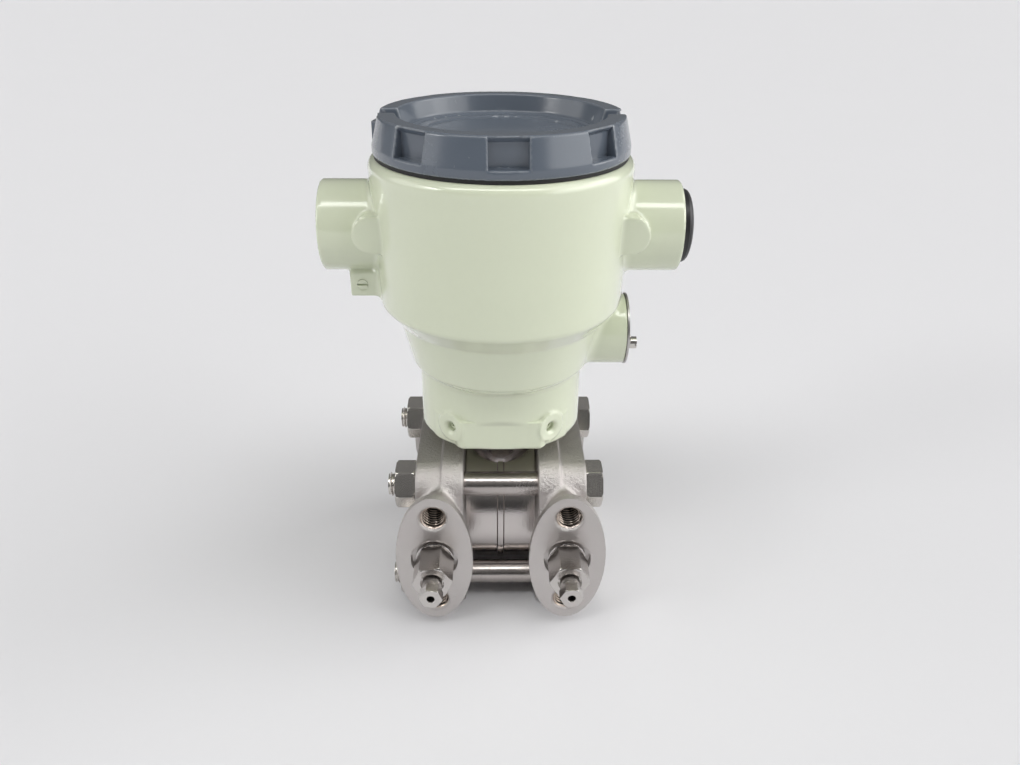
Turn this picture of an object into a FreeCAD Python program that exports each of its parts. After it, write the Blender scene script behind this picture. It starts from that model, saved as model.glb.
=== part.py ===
"""Differential pressure transmitter: two process flanges bolted on a disc capsule,
with a swivelling electronics housing and a screw cover on the neck above them.

Millimetres, +Z up.  X runs from the high side to the low side, Y towards the rear.
The origin is the centre of the rear process connection: on the rear flange faces,
midway between the two ports.
"""
import FreeCAD, Part
import math
import os
import re
import Sketcher
from FreeCAD import Placement, Rotation, Vector

doc = FreeCAD.newDocument("pressure_transmitter")
sizes = doc.addObject("Spreadsheet::Sheet", "sizes")
reckoning = doc.addObject("Spreadsheet::Sheet", "reckoning")

# name, value, what it is
SIZES = [
    # process flanges
    ("port_pitch", 54.0, "distance between the two port axes"),
    ("flange_depth", 96.0, "front face to rear face"),
    ("oval_width", 31.2, "oval end face, across"),
    ("oval_height", 61.0, "oval end face, tall"),
    ("oval_rim", 3.0, "straight rim behind the oval face"),
    ("flange_inner", 15.2, "inner face of a flange from the middle plane"),
    ("flange_thickness", 19.4, "inner face to the face that the nuts bear on"),
    ("rim_step", 9.0, "thickness of the inner rim of a flange"),
    ("rim_lip", 1.2, "height of the inner rim over the bolt web"),
    ("bolt_spacing_y", 54.6, "bolt axes, front to rear"),
    ("bolt_spacing_z", 46.6, "bolt axes, bottom to top"),
    ("web_margin", 10.8, "web radius round a bolt axis"),
    ("horn_width", 19.0, "width of the neck behind an oval face"),
    ("horn_height", 56.0, "height of the neck behind an oval face"),
    ("horn_offset", 2.0, "how far the neck lies inside the port axis"),
    ("mount_spacing", 41.3, "threaded holes above and below a port"),
    ("vent_side_hole", 10.1, "tapping bore of those holes at the front"),
    ("mount_hole", 9.74, "the same at the rear, within the same thread's limits"),
    ("mount_depth", 13.0, "their depth"),
    ("mount_chamfer", 0.5, "their mouth chamfer"),
    ("gasket_seat", 19.0, "round seat about a port"),
    ("gasket_seat_depth", 1.5, "its depth"),
    ("port_bore", 11.1, "tapping bore of a port"),
    ("port_depth", 15.0, "its depth from the face"),
    ("port_passage", 6.0, "passage between the ports of one flange"),
    # capsule and neck
    ("capsule_dia", 57.0, "welded capsule"),
    ("capsule_half", 14.6, "half width of the capsule"),
    ("edge_step", 0.7, "small step at the capsule edges"),
    ("edge_land", 1.3, "width of that step"),
    ("weld_width", 2.2, "weld bead round the middle"),
    ("weld_height", 0.5, "weld bead over the capsule"),
    ("spigot_dia", 47.0, "spigot of the capsule in a flange"),
    ("spigot_length", 1.8, "its length"),
    ("spigot_clearance", 0.3, "radial clearance of the spigot, and behind it"),
    ("gasket_dia", 41.0, "middle circle of a capsule gasket"),
    ("gasket_width", 2.2, "its width"),
    ("gasket_thickness", 2.0, "its thickness"),
    ("diaphragm_dia", 34.0, "isolating diaphragm"),
    ("diaphragm_thickness", 0.4, "its thickness"),
    ("diaphragm_recess", 1.0, "depth of its recess in the spigot"),
    ("chamber_depth", 2.4, "pressure chamber in a flange"),
    ("neck_dia", 25.6, "neck tube that the housing turns on"),
    ("neck_base_dia", 28.0, "collar at its foot"),
    ("neck_base_top", 32.5, "top of the collar"),
    ("neck_top", 64.0, "top of the neck"),
    ("neck_bore", 12.0, "bore for the sensor leads"),
    ("neck_bore_floor", 34.0, "where that bore starts"),
    ("neck_groove_depth", 1.2, "groove that the set screws grip"),
    ("neck_groove_width", 6.0, "its width"),
    # bolts and nuts
    ("bolt_dia", 10.0, "flange bolts"),
    ("bolt_clearance", 0.25, "radial clearance in the flanges"),
    ("thread_clearance", 0.05, "radial clearance in a nut"),
    ("hex_flats", 17.0, "across the flats of the nuts and heads"),
    ("head_height", 7.0, "bolt head"),
    ("nut_height", 8.4, "nut"),
    ("bolt_end", 3.0, "thread past the nut"),
    ("hex_bevel", 0.8, "bevel on a nut's corners"),
    # vent valves
    ("plug_flats", 14.0, "across the flats of a vent plug"),
    ("plug_collar", 16.4, "round shoulder of a vent plug"),
    ("plug_collar_length", 1.6, "its length"),
    ("plug_hex_length", 13.9, "length of its hexagon"),
    ("plug_shank_length", 11.0, "threaded shank in the flange"),
    ("plug_recess", 9.2, "recess in its outer end"),
    ("plug_recess_depth", 2.0, "depth of that recess"),
    ("plug_fit", 0.05, "radial clearance of the shank and the stem"),
    ("plug_turn_high", 8.0, "angle of the high-side hexagon, degrees"),
    ("plug_turn_low", 0.0, "angle of the low-side hexagon, degrees"),
    ("stem_dia", 6.2, "threaded stem of a vent screw"),
    ("stem_neck", 7.7, "round neck behind its hexagon"),
    ("stem_neck_length", 4.0, "length of that neck past the plug"),
    ("stem_flats", 8.0, "across the flats of its hexagon"),
    ("stem_hex_length", 4.7, "length of its hexagon"),
    ("stem_inside", 14.5, "length of stem inside the plug"),
    ("stem_nose", 4.8, "plain end of the stem that holds the ball"),
    ("stem_nose_length", 5.0, "its length"),
    ("ball_gap", 0.1, "play of the ball at its seat and at the stem"),
    ("vent_bore", 3.1, "outlet bore of the stem"),
    ("vent_bore_depth", 18.4, "its depth"),
    ("vent_cross", 1.6, "cross hole at its inner end"),
    ("ball_dia", 4.6, "sealing ball"),
    ("plug_passage", 2.6, "passage behind the ball"),
    # housing
    ("skirt_bottom", 40.5, "lower edge of the housing"),
    ("skirt_dia", 66.8, "oval neck skirt of the housing, across"),
    ("skirt_depth", 58.6, "the same, front to rear"),
    ("skirt_edge", 1.5, "bevel of its lower edge"),
    ("skirt_top", 65.2, "where the waist starts to widen out of the skirt"),
    ("waist_dia", 73.0, "foot of the waist above the skirt"),
    ("waist_bottom", 71.5, "height of that foot"),
    ("waist_top_dia", 82.0, "top of the waist"),
    ("waist_top", 89.0, "height of that top"),
    ("drum_bottom", 98.5, "lower edge of the drum"),
    ("drum_dia", 96.2, "drum, at its lower edge"),
    ("drum_top_dia", 99.0, "drum, at its upper edge"),
    ("drum_edge", 3.4, "rounding of its upper edge"),
    ("drum_shoulder", 4.0, "rounding of its lower edge"),
    ("drum_top", 152.9, "top face of the drum"),
    ("flat_set_back", 1.2, "front flat of the skirt, behind its round"),
    ("flat_width", 31.6, "its width"),
    ("flat_slope", 3.0, "height of the slope that runs out above it"),
    ("collar_height", 11.6, "faceted collar round the front of the skirt"),
    ("collar_facet", 15.4, "length of a slanted facet, beside the flat"),
    ("chamber_dia", 83.0, "bore of the electronics chamber"),
    ("chamber_floor", 104.0, "its floor"),
    ("core_top_dia", 52.0, "cored hollow under the chamber, at its top"),
    ("core_bottom_dia", 42.0, "that hollow at its foot"),
    ("core_floor", 73.0, "height of its foot"),
    ("lead_bore", 14.0, "bore from the hollow down to the neck"),
    ("socket_top", 66.0, "top of the bore for the neck"),
    ("swivel_clearance", 0.1, "radial clearance on the neck"),
    ("conduit_dia", 34.6, "conduit bosses"),
    ("conduit_reach", 68.0, "end of a conduit boss from the axis"),
    ("conduit_height", 125.3, "axis of the conduits"),
    ("conduit_bore", 18.6, "thread core of a conduit entry"),
    ("conduit_thread_length", 17.0, "its length"),
    ("conduit_passage", 15.0, "passage on into the chamber"),
    ("lug_radius", 7.0, "cast lug in front of a conduit boss"),
    ("lug_stand", 4.7, "how far it stands out past the top of the drum"),
    ("lug_height", 127.8, "height of its centre"),
    ("lug_front", 22.5, "its front face, from the axis"),
    ("block_stand", 8.5, "earth block, past the top of the drum"),
    ("block_front", 12.0, "its front face, from the axis"),
    ("block_depth", 14.0, "its depth"),
    ("block_bottom", 100.4, "its lower face"),
    ("block_height", 10.0, "its height"),
    ("earth_screw_dia", 4.0, "earth screw"),
    ("earth_screw_inset", 4.8, "its distance from the outer face of the block"),
    ("earth_screw_height", 105.3, "its height"),
    ("earth_screw_depth", 6.0, "its depth"),
    ("screw_fit", 0.05, "radial clearance of a fixed screw"),
    ("side_boss_dia", 28.6, "adjuster boss"),
    ("side_boss_reach", 50.2, "its end face, from the axis"),
    ("side_boss_height", 81.8, "its height"),
    ("side_plate_thickness", 0.8, "plate on its end face"),
    ("side_plate_screw_dia", 2.4, "countersunk screws of that plate"),
    ("side_plate_screw_offset", 10.6, "their distance from the middle"),
    ("adjuster_dia", 5.0, "head of the zero adjuster"),
    ("adjuster_drop", 6.6, "its distance below the middle of the boss"),
    ("adjuster_reach", 5.2, "its head past the plate"),
    ("adjuster_depth", 9.0, "its shaft inside the boss"),
    ("adjuster_shaft", 3.2, "diameter of that shaft"),
    ("adjuster_slot", 0.8, "screwdriver slot, wide and deep"),
    ("adjuster_clearance", 0.1, "radial clearance of the adjuster"),
    ("set_screw_dia", 4.0, "set screws in the skirt"),
    ("set_screw_angle", 40.0, "their angle from the front, degrees"),
    ("set_screw_height", 49.2, "their height"),
    ("set_boss_dia", 10.4, "small boss about a set screw"),
    ("set_boss_stand", 3.3, "how far it stands out past the round of the skirt"),
    ("set_boss_crater", 1.3, "conical mouth of the hole in it"),
    ("set_screw_sink", 3.0, "how deep a set screw lies in its boss"),
    ("set_screw_play", 0.3, "gap from its point to the groove in the neck"),
    # cover and its gasket
    ("cover_gap", 1.3, "gasket thickness between drum and cover"),
    ("cover_dia", 95.0, "cover at its lower edge"),
    ("cover_top_dia", 90.8, "cover at its upper edge"),
    ("cover_height", 13.6, "height over the gasket"),
    ("cover_edge", 1.0, "chamfer of the upper edge"),
    ("cover_mouth", 77.0, "top of the dished recess"),
    ("cover_dish", 73.0, "foot of the dished recess"),
    ("cover_dish_depth", 6.8, "depth of the recess"),
    ("cover_bead", 1.4, "width of the bead round the dish floor"),
    ("cover_bead_height", 0.6, "its height"),
    ("cover_disc", 56.6, "sunk disc in the middle"),
    ("cover_disc_depth", 0.5, "how far it is sunk"),
    ("cover_wall", 3.4, "thickness under the dish"),
    ("cover_thread_wall", 3.6, "wall of the threaded skirt"),
    ("cover_thread_length", 13.0, "length of the threaded skirt"),
    ("cover_thread_clearance", 0.3, "radial clearance in the chamber bore"),
    ("notch_count", 8, "grip notches"),
    ("notch_width", 13.2, "their width"),
    ("notch_depth", 2.6, "their depth at the upper edge"),
    ("notch_bottom", 3.2, "band below them"),
    ("notch_turn", 2.5, "angle of the front notch, degrees"),
    ("slot_width", 9.0, "slots across the rim for a bar"),
    ("slot_depth", 4.2, "their depth"),
    ("tab_reach", 49.2, "locking tab, outer face"),
    ("tab_width", 5.0, "its width"),
    ("tab_height", 7.4, "its height"),
    ("tab_turn", 102.0, "its angle from the front towards -X, degrees"),
    ("gasket_outer", 94.0, "cover gasket, outer"),
    # inside the chamber
    ("module_dia", 70.0, "amplifier module"),
    ("module_height", 17.0, "its height"),
    ("module_screw_dia", 3.0, "its screws"),
    ("module_screw_circle", 62.0, "their circle"),
    ("module_screw_head", 5.5, "their heads"),
    ("module_screw_depth", 7.0, "how deep they go into the housing"),
    ("module_hole_play", 0.2, "radial play of their holes in the module"),
    ("terminal_length", 44.0, "terminal block, along X"),
    ("terminal_depth", 22.0, "its depth along Y"),
    ("terminal_height", 12.0, "its height"),
    ("terminal_pitch", 10.0, "pitch of the terminals"),
    ("terminal_barrier", 1.6, "thickness of a barrier"),
    ("terminal_barrier_height", 5.0, "height of the barriers"),
    ("terminal_screw_dia", 4.0, "terminal screws"),
    ("terminal_head_dia", 7.0, "their heads"),
    ("terminal_head_height", 2.4, "height of the heads"),
    # dust cap in the low-side conduit
    ("cap_dia", 28.0, "head of the dust cap"),
    ("cap_rim", 2.4, "edge thickness of the head"),
    ("cap_dome", 3.0, "dome over the edge"),
    ("cap_shank_clearance", 0.1, "radial clearance of its shank"),
    ("cap_shank_length", 9.0, "length of its shank"),
    ("cap_wall", 1.6, "wall of the hollow shank"),
]

for row, (name, number, meaning) in enumerate(SIZES, start=1):
    sizes.set("A%d" % row, name)
    sizes.set("B%d" % row, str(number))
    sizes.setAlias("B%d" % row, name)
    sizes.set("C%d" % row, meaning)
doc.recompute()
NAMES = set(name for name, number, meaning in SIZES)


def cells(text):
    """The expression with every size name pointed at the sheet."""
    def full(match):
        word = match.group(0)
        return "sizes." + word if word in NAMES else word
    return re.sub(r"[a-z][a-z_0-9]*", full, text)


def value(text):
    """The number that an expression of sizes gives now."""
    reckoning.set("A1", "=" + cells(text))
    reckoning.recompute()
    result = reckoning.get("A1")
    return float(getattr(result, "Value", result))


def bind(thing, prop, text):
    thing.setExpression(prop, cells(text))


# ---------------------------------------------------------------- sketches and features

def new_body(name):
    body = doc.addObject("PartDesign::Body", name)
    body.Label = name
    return body


def plane(body, role):
    return next(f for f in body.Origin.OriginFeatures if f.Role == role)


def new_sketch(body, name, role, offset=None, spin=None, swing=None):
    """A sketch on one of the body's own planes, moved along its normal.

    spin turns it about that normal; swing turns an XZ sketch about the vertical, from the
    front towards +X, with the offset measured along its new normal.
    """
    sk = body.newObject("Sketcher::SketchObject", name)
    sk.AttachmentSupport = (plane(body, role), "")
    sk.MapMode = "FlatFace"
    if swing:
        sk.AttachmentOffset = Placement(Vector(0, 0, 0), Rotation(Vector(0, 1, 0), value(swing)))
        bind(sk, "AttachmentOffset.Rotation.Angle", swing)
        bind(sk, "AttachmentOffset.Base.x", "(%s) * sin((%s) * 1deg)" % (offset, swing))
        bind(sk, "AttachmentOffset.Base.z", "(%s) * cos((%s) * 1deg)" % (offset, swing))
        return sk
    if offset:
        bind(sk, "AttachmentOffset.Base.z", offset)
    if spin:
        bind(sk, "AttachmentOffset.Rotation.Angle", spin)
    return sk


def place_point(sk, geo, end, x_text, y_text):
    """Fix one point of a sketch at a place given by sizes."""
    for kind, axis, text in (("DistanceX", -2, x_text), ("DistanceY", -1, y_text)):
        number = value(text)
        if abs(number) < 1e-9:
            sk.addConstraint(Sketcher.Constraint("PointOnObject", geo, end, axis))
        else:
            index = sk.addConstraint(Sketcher.Constraint(kind, -1, 1, geo, end, number))
            bind(sk, "Constraints[%d]" % index, text)


def outline(sk, points):
    """A closed outline of straight lines through points given as pairs of expressions."""
    spots = [Vector(value(x), value(y), 0) for x, y in points]
    count = len(spots)
    first = sk.GeometryCount
    for i in range(count):
        sk.addGeometry(Part.LineSegment(spots[i], spots[(i + 1) % count]), False)
    for i in range(count):
        sk.addConstraint(Sketcher.Constraint(
            "Coincident", first + i, 2, first + (i + 1) % count, 1))
    for i, (x, y) in enumerate(points):
        place_point(sk, first + i, 1, x, y)


def circle(sk, x, y, diameter):
    geo = sk.addGeometry(
        Part.Circle(Vector(value(x), value(y), 0), Vector(0, 0, 1), value(diameter) / 2), False)
    place_point(sk, geo, 3, x, y)
    index = sk.addConstraint(Sketcher.Constraint("Diameter", geo, value(diameter)))
    bind(sk, "Constraints[%d]" % index, diameter)


def ellipse(sk, x, y, width, height):
    """An upright ellipse, taller than it is wide."""
    cx, cy, wide, tall = value(x), value(y), value(width) / 2, value(height) / 2
    geo = sk.addGeometry(Part.Ellipse(
        Vector(cx, cy + tall, 0), Vector(cx - wide, cy, 0), Vector(cx, cy, 0)), False)
    place_point(sk, geo, 3, x, y)
    sk.exposeInternalGeometry(geo)
    sk.addConstraint(Sketcher.Constraint("Vertical", geo + 1))
    for line, text in ((geo + 1, height), (geo + 2, width)):
        index = sk.addConstraint(Sketcher.Constraint("Distance", line, value(text)))
        bind(sk, "Constraints[%d]" % index, text)


def hexagon(sk, flats, turn):
    """A regular hexagon about the origin, by its width across flats."""
    points = []
    for k in range(6):
        angle = "(%s + %d) * 1deg" % (turn, 60 * k)
        points.append(("%s / sqrt(3) * cos(%s)" % (flats, angle),
                       "%s / sqrt(3) * sin(%s)" % (flats, angle)))
    outline(sk, points)


def rectangle(sk, x0, x1, y0, y1):
    outline(sk, [(x0, y0), (x1, y0), (x1, y1), (x0, y1)])


def finish_feature(feature, body):
    body.Tip = feature
    doc.recompute()
    return feature


def pad(body, sk, length, both=False, reverse=False):
    feature = body.newObject("PartDesign::Pad", sk.Name + "_pad")
    feature.Profile = sk
    bind(feature, "Length", length)
    feature.Midplane = both
    feature.Reversed = reverse
    sk.Visibility = False
    return finish_feature(feature, body)


def cut(body, sk, length=None, both=False, reverse=False):
    """A pocket of a length, or through everything; it must take something away."""
    before = body.Shape.Volume
    feature = body.newObject("PartDesign::Pocket", sk.Name + "_cut")
    feature.Profile = sk
    if length:
        bind(feature, "Length", length)
    else:
        feature.Type = "ThroughAll"
    feature.Midplane = both
    feature.Reversed = reverse
    finish_feature(feature, body)
    if not feature.Shape.Volume < before - 1e-3:
        raise RuntimeError("nothing cut by " + feature.Name)
    return feature


def turn(body, sk, axis, angle=360.0):
    feature = body.newObject("PartDesign::Revolution", sk.Name + "_turned")
    feature.Profile = sk
    feature.ReferenceAxis = (sk, [axis])
    feature.Angle = angle
    return finish_feature(feature, body)


def groove(body, sk, axis):
    before = body.Shape.Volume
    feature = body.newObject("PartDesign::Groove", sk.Name + "_groove")
    feature.Profile = sk
    feature.ReferenceAxis = (sk, [axis])
    feature.Angle = 360.0
    finish_feature(feature, body)
    if not feature.Shape.Volume < before - 1e-3:
        raise RuntimeError("nothing cut by " + feature.Name)
    return feature


def repeat_round(body, feature, role, count):
    pattern = body.newObject("PartDesign::PolarPattern", feature.Name + "_round")
    pattern.Originals = [feature]
    pattern.Axis = (plane(body, role), [""])
    pattern.Angle = 360.0
    bind(pattern, "Occurrences", count)
    return finish_feature(pattern, body)


def mirror(body, features, role):
    pattern = body.newObject("PartDesign::Mirrored", features[0].Name + "_mirrored")
    pattern.Originals = features
    pattern.MirrorPlane = (plane(body, role), [""])
    return finish_feature(pattern, body)


def named_edges(feature, test):
    return ["Edge%d" % (i + 1) for i, e in enumerate(feature.Shape.Edges) if test(e)]


def soften(body, kind, size, test):
    """A fillet or chamfer on the edges of the tip that pass a test."""
    base = body.Tip
    names = named_edges(base, test)
    if not names:
        raise RuntimeError("no edge found on " + body.Name)
    feature = body.newObject("PartDesign::" + kind, "%s_%s" % (base.Name, kind.lower()))
    feature.Base = (base, names)
    bind(feature, "Radius" if kind == "Fillet" else "Size", size)
    return finish_feature(feature, body)


def seat(body, x="0", y="0", z="0", rotation=None):
    """Stand a body in the transmitter: its own origin goes to this point."""
    if rotation:
        body.Placement = Placement(Vector(0, 0, 0), rotation)
    for axis, text in (("x", x), ("y", "%s - flange_depth / 2" % y), ("z", z)):
        bind(body, "Placement.Base." + axis, text)
    doc.recompute()


def is_circle(e, radius=None, close=0.02):
    round_edge = isinstance(e.Curve, Part.Circle)
    return round_edge and (radius is None or abs(e.Curve.Radius - radius) < close)


def span(e, axis):
    box = e.BoundBox
    return {"x": (box.XMin, box.XMax), "y": (box.YMin, box.YMax), "z": (box.ZMin, box.ZMax)}[axis]


# ---------------------------------------------------------------- process flanges

WEB_Y = "(bolt_spacing_y / 2 + web_margin)"
WEB_Z = "(bolt_spacing_z / 2 + web_margin)"
FACE = "flange_depth / 2"


def port_circles(sk, diameter):
    circle(sk, "port_pitch / 2", "0", diameter)


def make_flange(name, rotation, holes_at_ends):
    """One flange, drawn on the +X side; the other one is the same casting turned round."""
    body = new_body(name)

    web = new_sketch(body, name + "_web", "YZ_Plane", "flange_inner + rim_step")
    rectangle(web, "-" + WEB_Y, WEB_Y, "-" + WEB_Z, WEB_Z)
    pad(body, web, "flange_thickness - rim_step")
    soften(body, "Fillet", "web_margin",
           lambda e: span(e, "x")[1] - span(e, "x")[0] > 1.0)

    rim = new_sketch(body, name + "_rim", "YZ_Plane", "flange_inner")
    rectangle(rim, "-%s - rim_lip" % WEB_Y, "%s + rim_lip" % WEB_Y,
              "-%s - rim_lip" % WEB_Z, "%s + rim_lip" % WEB_Z)
    pad(body, rim, "rim_step")
    inner_x = value("flange_inner")
    soften(body, "Fillet", "web_margin + rim_lip",
           lambda e: span(e, "x")[1] - span(e, "x")[0] > 1.0
           and abs(span(e, "x")[0] - inner_x) < 0.02
           and abs(e.BoundBox.Center.y) > value(WEB_Y))

    # the neck that widens to the oval face, at the front; then the same at the rear
    sections = []
    length = "(%s - oval_rim - %s)" % (FACE, WEB_Y)
    for k, (along, share) in enumerate(((-0.4, 0.0), (0.25, 0.12), (0.65, 0.42), (1.0, 1.0))):
        sk = new_sketch(body, "%s_horn_%d" % (name, k), "XZ_Plane",
                        "%s + %s * %s" % (WEB_Y, along, length))
        ellipse(sk, "port_pitch / 2 - %s * horn_offset" % (1 - share), "0",
                "horn_width + %s * (oval_width - horn_width)" % share,
                "horn_height + %s * (oval_height - horn_height)" % share)
        sections.append(sk)
    horn = body.newObject("PartDesign::AdditiveLoft", name + "_horn")
    horn.Profile = sections[0]
    horn.Sections = sections[1:]
    horn.Ruled = True
    finish_feature(horn, body)
    face = new_sketch(body, name + "_oval", "XZ_Plane", FACE + " - oval_rim")
    ellipse(face, "port_pitch / 2", "0", "oval_width", "oval_height")
    oval = pad(body, face, "oval_rim")
    mirror(body, [horn, oval], "XZ_Plane")

    # bolt holes
    holes = new_sketch(body, name + "_bolt_holes", "YZ_Plane", "flange_inner - 1")
    for sy in ("-", ""):
        for sz in ("-", ""):
            circle(holes, sy + "bolt_spacing_y / 2", sz + "bolt_spacing_z / 2",
                   "bolt_dia + 2 * bolt_clearance")
    cut(body, holes, "flange_thickness + 20", reverse=True)

    # seat of the capsule, gasket groove, pressure chamber
    for tag, depth, outer, inner in (
            ("recess", "spigot_length + spigot_clearance",
             "spigot_dia + 2 * spigot_clearance", None),
            ("gasket_groove", "spigot_length + gasket_thickness",
             "gasket_dia + gasket_width + 0.2", "gasket_dia - gasket_width - 0.2"),
            ("chamber", "spigot_length + spigot_clearance + chamber_depth",
             "gasket_dia - gasket_width - 5", None)):
        sk = new_sketch(body, "%s_%s" % (name, tag), "YZ_Plane", "flange_inner")
        circle(sk, "0", "0", outer)
        if inner:
            circle(sk, "0", "0", inner)
        cut(body, sk, depth + " - (flange_inner - capsule_half)", reverse=True)

    # ports, seats and threaded holes, front and rear
    for tag, diameter, depth in (
            ("seat", "gasket_seat", "gasket_seat_depth"),
            ("port", "port_bore", "port_depth")):
        sk = new_sketch(body, "%s_%s" % (name, tag), "XZ_Plane", FACE)
        port_circles(sk, diameter)
        first = cut(body, sk, depth)
        mirror(body, [first], "XZ_Plane")
    for diameter, side, back in zip(holes_at_ends, ("", "-"), (False, True)):
        sk = new_sketch(body, "%s_%ss" % (name, diameter), "XZ_Plane", side + FACE)
        for sign in ("-", ""):
            circle(sk, "port_pitch / 2", sign + "mount_spacing / 2", diameter)
        cut(body, sk, "mount_depth", reverse=back)
    sk = new_sketch(body, name + "_passage", "XZ_Plane")
    port_circles(sk, "port_passage")
    cut(body, sk, "flange_depth - 2 * port_depth + 2", both=True)
    sk = new_sketch(body, name + "_feed", "YZ_Plane", "flange_inner")
    circle(sk, "0", "0", "port_passage")
    cut(body, sk, "port_pitch / 2 - flange_inner", reverse=True)
    mouths = [value(diameter) / 2 for diameter in holes_at_ends]
    face_y = value(FACE)
    soften(body, "Chamfer", "mount_chamfer",
           lambda e: any(is_circle(e, mouth) for mouth in mouths)
           and abs(abs(e.BoundBox.Center.y) - face_y) < 0.02)
    seat(body, rotation=rotation)
    return body


make_flange("process_flange_low", None, ("vent_side_hole", "mount_hole"))
make_flange("process_flange_high", Rotation(Vector(0, 0, 1), 180),
            ("mount_hole", "vent_side_hole"))

# ---------------------------------------------------------------- capsule and neck

capsule = new_body("capsule_body")
sk = new_sketch(capsule, "capsule_profile", "XY_Plane")
outline(sk, [
    ("-capsule_half - spigot_length", "0"),
    ("-capsule_half - spigot_length", "spigot_dia / 2"),
    ("-capsule_half", "spigot_dia / 2"),
    ("-capsule_half", "capsule_dia / 2 - edge_step"),
    ("-capsule_half + edge_land", "capsule_dia / 2 - edge_step"),
    ("-capsule_half + edge_land", "capsule_dia / 2"),
    ("-weld_width / 2 - weld_height", "capsule_dia / 2"),
    ("-weld_width / 2", "capsule_dia / 2 + weld_height"),
    ("weld_width / 2", "capsule_dia / 2 + weld_height"),
    ("weld_width / 2 + weld_height", "capsule_dia / 2"),
    ("capsule_half - edge_land", "capsule_dia / 2"),
    ("capsule_half - edge_land", "capsule_dia / 2 - edge_step"),
    ("capsule_half", "capsule_dia / 2 - edge_step"),
    ("capsule_half", "spigot_dia / 2"),
    ("capsule_half + spigot_length", "spigot_dia / 2"),
    ("capsule_half + spigot_length", "0")])
turn(capsule, sk, "H_Axis")
for side, back in (("right", False), ("left", True)):
    sk = new_sketch(capsule, "diaphragm_recess_" + side, "YZ_Plane",
                    ("-" if back else "") + "(capsule_half + spigot_length)")
    circle(sk, "0", "0", "diaphragm_dia + 0.4")
    cut(capsule, sk, "diaphragm_recess", reverse=back)
sk = new_sketch(capsule, "neck_profile", "XZ_Plane")
groove_low = "set_screw_height - neck_groove_width / 2"
groove_high = "set_screw_height + neck_groove_width / 2"
outline(sk, [
    ("0", "capsule_dia / 2 - 14"),
    ("neck_base_dia / 2", "capsule_dia / 2 - 14"),
    ("neck_base_dia / 2", "neck_base_top"),
    ("neck_dia / 2", "neck_base_top + 1"),
    ("neck_dia / 2", groove_low),
    ("neck_dia / 2 - neck_groove_depth", groove_low + " + neck_groove_depth"),
    ("neck_dia / 2 - neck_groove_depth", groove_high + " - neck_groove_depth"),
    ("neck_dia / 2", groove_high),
    ("neck_dia / 2", "neck_top - 1"),
    ("neck_dia / 2 - 1", "neck_top"),
    ("neck_bore / 2", "neck_top"),
    ("neck_bore / 2", "neck_bore_floor"),
    ("0", "neck_bore_floor")])
turn(capsule, sk, "V_Axis")
seat(capsule)

# ---------------------------------------------------------------- inside the flanges

def group(name, pieces):
    """Identical pieces that share one node, as separate solids."""
    joined = doc.addObject("Part::Compound", name)
    joined.Label = name
    joined.Links = pieces
    doc.recompute()
    return joined


def both_sides(make, *names):
    """The same piece on the low side, and turned half round on the high side."""
    pieces = []
    for name, rotation in zip(names, (None, Rotation(Vector(0, 0, 1), 180))):
        piece = make(name)
        seat(piece, rotation=rotation)
        pieces.append(piece)
    return pieces


SPIGOT_END = "(capsule_half + spigot_length)"


def make_diaphragm(name):
    """A thin disc with waves, on the floor of its recess in the spigot."""
    body = new_body(name)
    sk = new_sketch(body, name + "_profile", "XY_Plane")
    back = SPIGOT_END + " - diaphragm_recess"
    front = back + " + diaphragm_thickness"
    points = [(back, "0"), (back, "diaphragm_dia / 2"), (front, "diaphragm_dia / 2")]
    for k, share in enumerate((0.42, 0.38, 0.34, 0.30, 0.26, 0.22)):
        points.append((front + (" + 0.2" if k % 2 else ""), "diaphragm_dia * %s" % share))
    points.append((front, "0"))
    outline(sk, points)
    turn(body, sk, "H_Axis")
    return body


def make_capsule_gasket(name):
    body = new_body(name)
    sk = new_sketch(body, name + "_profile", "XY_Plane")
    rectangle(sk, SPIGOT_END, SPIGOT_END + " + gasket_thickness",
              "gasket_dia / 2 - gasket_width / 2", "gasket_dia / 2 + gasket_width / 2")
    turn(body, sk, "H_Axis")
    return body


group("isolating_diaphragms",
      both_sides(make_diaphragm, "diaphragm_low", "diaphragm_high"))
group("capsule_gaskets",
      both_sides(make_capsule_gasket, "capsule_gasket_low", "capsule_gasket_high"))

# ---------------------------------------------------------------- bolts and nuts

def bevel_hex(body, name, flats, far, near):
    """Turn the corners off a hexagon: at its end `far`, sloping back to `near`."""
    sk = new_sketch(body, name + "_bevel", "XY_Plane")
    outline(sk, [(far, flats + " * 0.48"),
                 (far, flats + " * 0.62"),
                 (near, flats + " * 0.62")])
    groove(body, sk, "H_Axis")


def make_bolt(name):
    """A hexagon bolt along X, its head bearing at x = 0."""
    body = new_body(name)
    end = "-(2 * (flange_inner + flange_thickness) + nut_height + bolt_end)"
    sk = new_sketch(body, name + "_shank", "XY_Plane")
    outline(sk, [("1", "0"), ("1", "bolt_dia / 2"), (end + " + 1", "bolt_dia / 2"),
                 (end, "bolt_dia / 2 - 1"), (end, "0")])
    turn(body, sk, "H_Axis")
    sk = new_sketch(body, name + "_head", "YZ_Plane")
    hexagon(sk, "hex_flats", "0")
    pad(body, sk, "head_height")
    bevel_hex(body, name, "hex_flats", "head_height", "head_height - 2 * hex_bevel")
    return body


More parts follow.
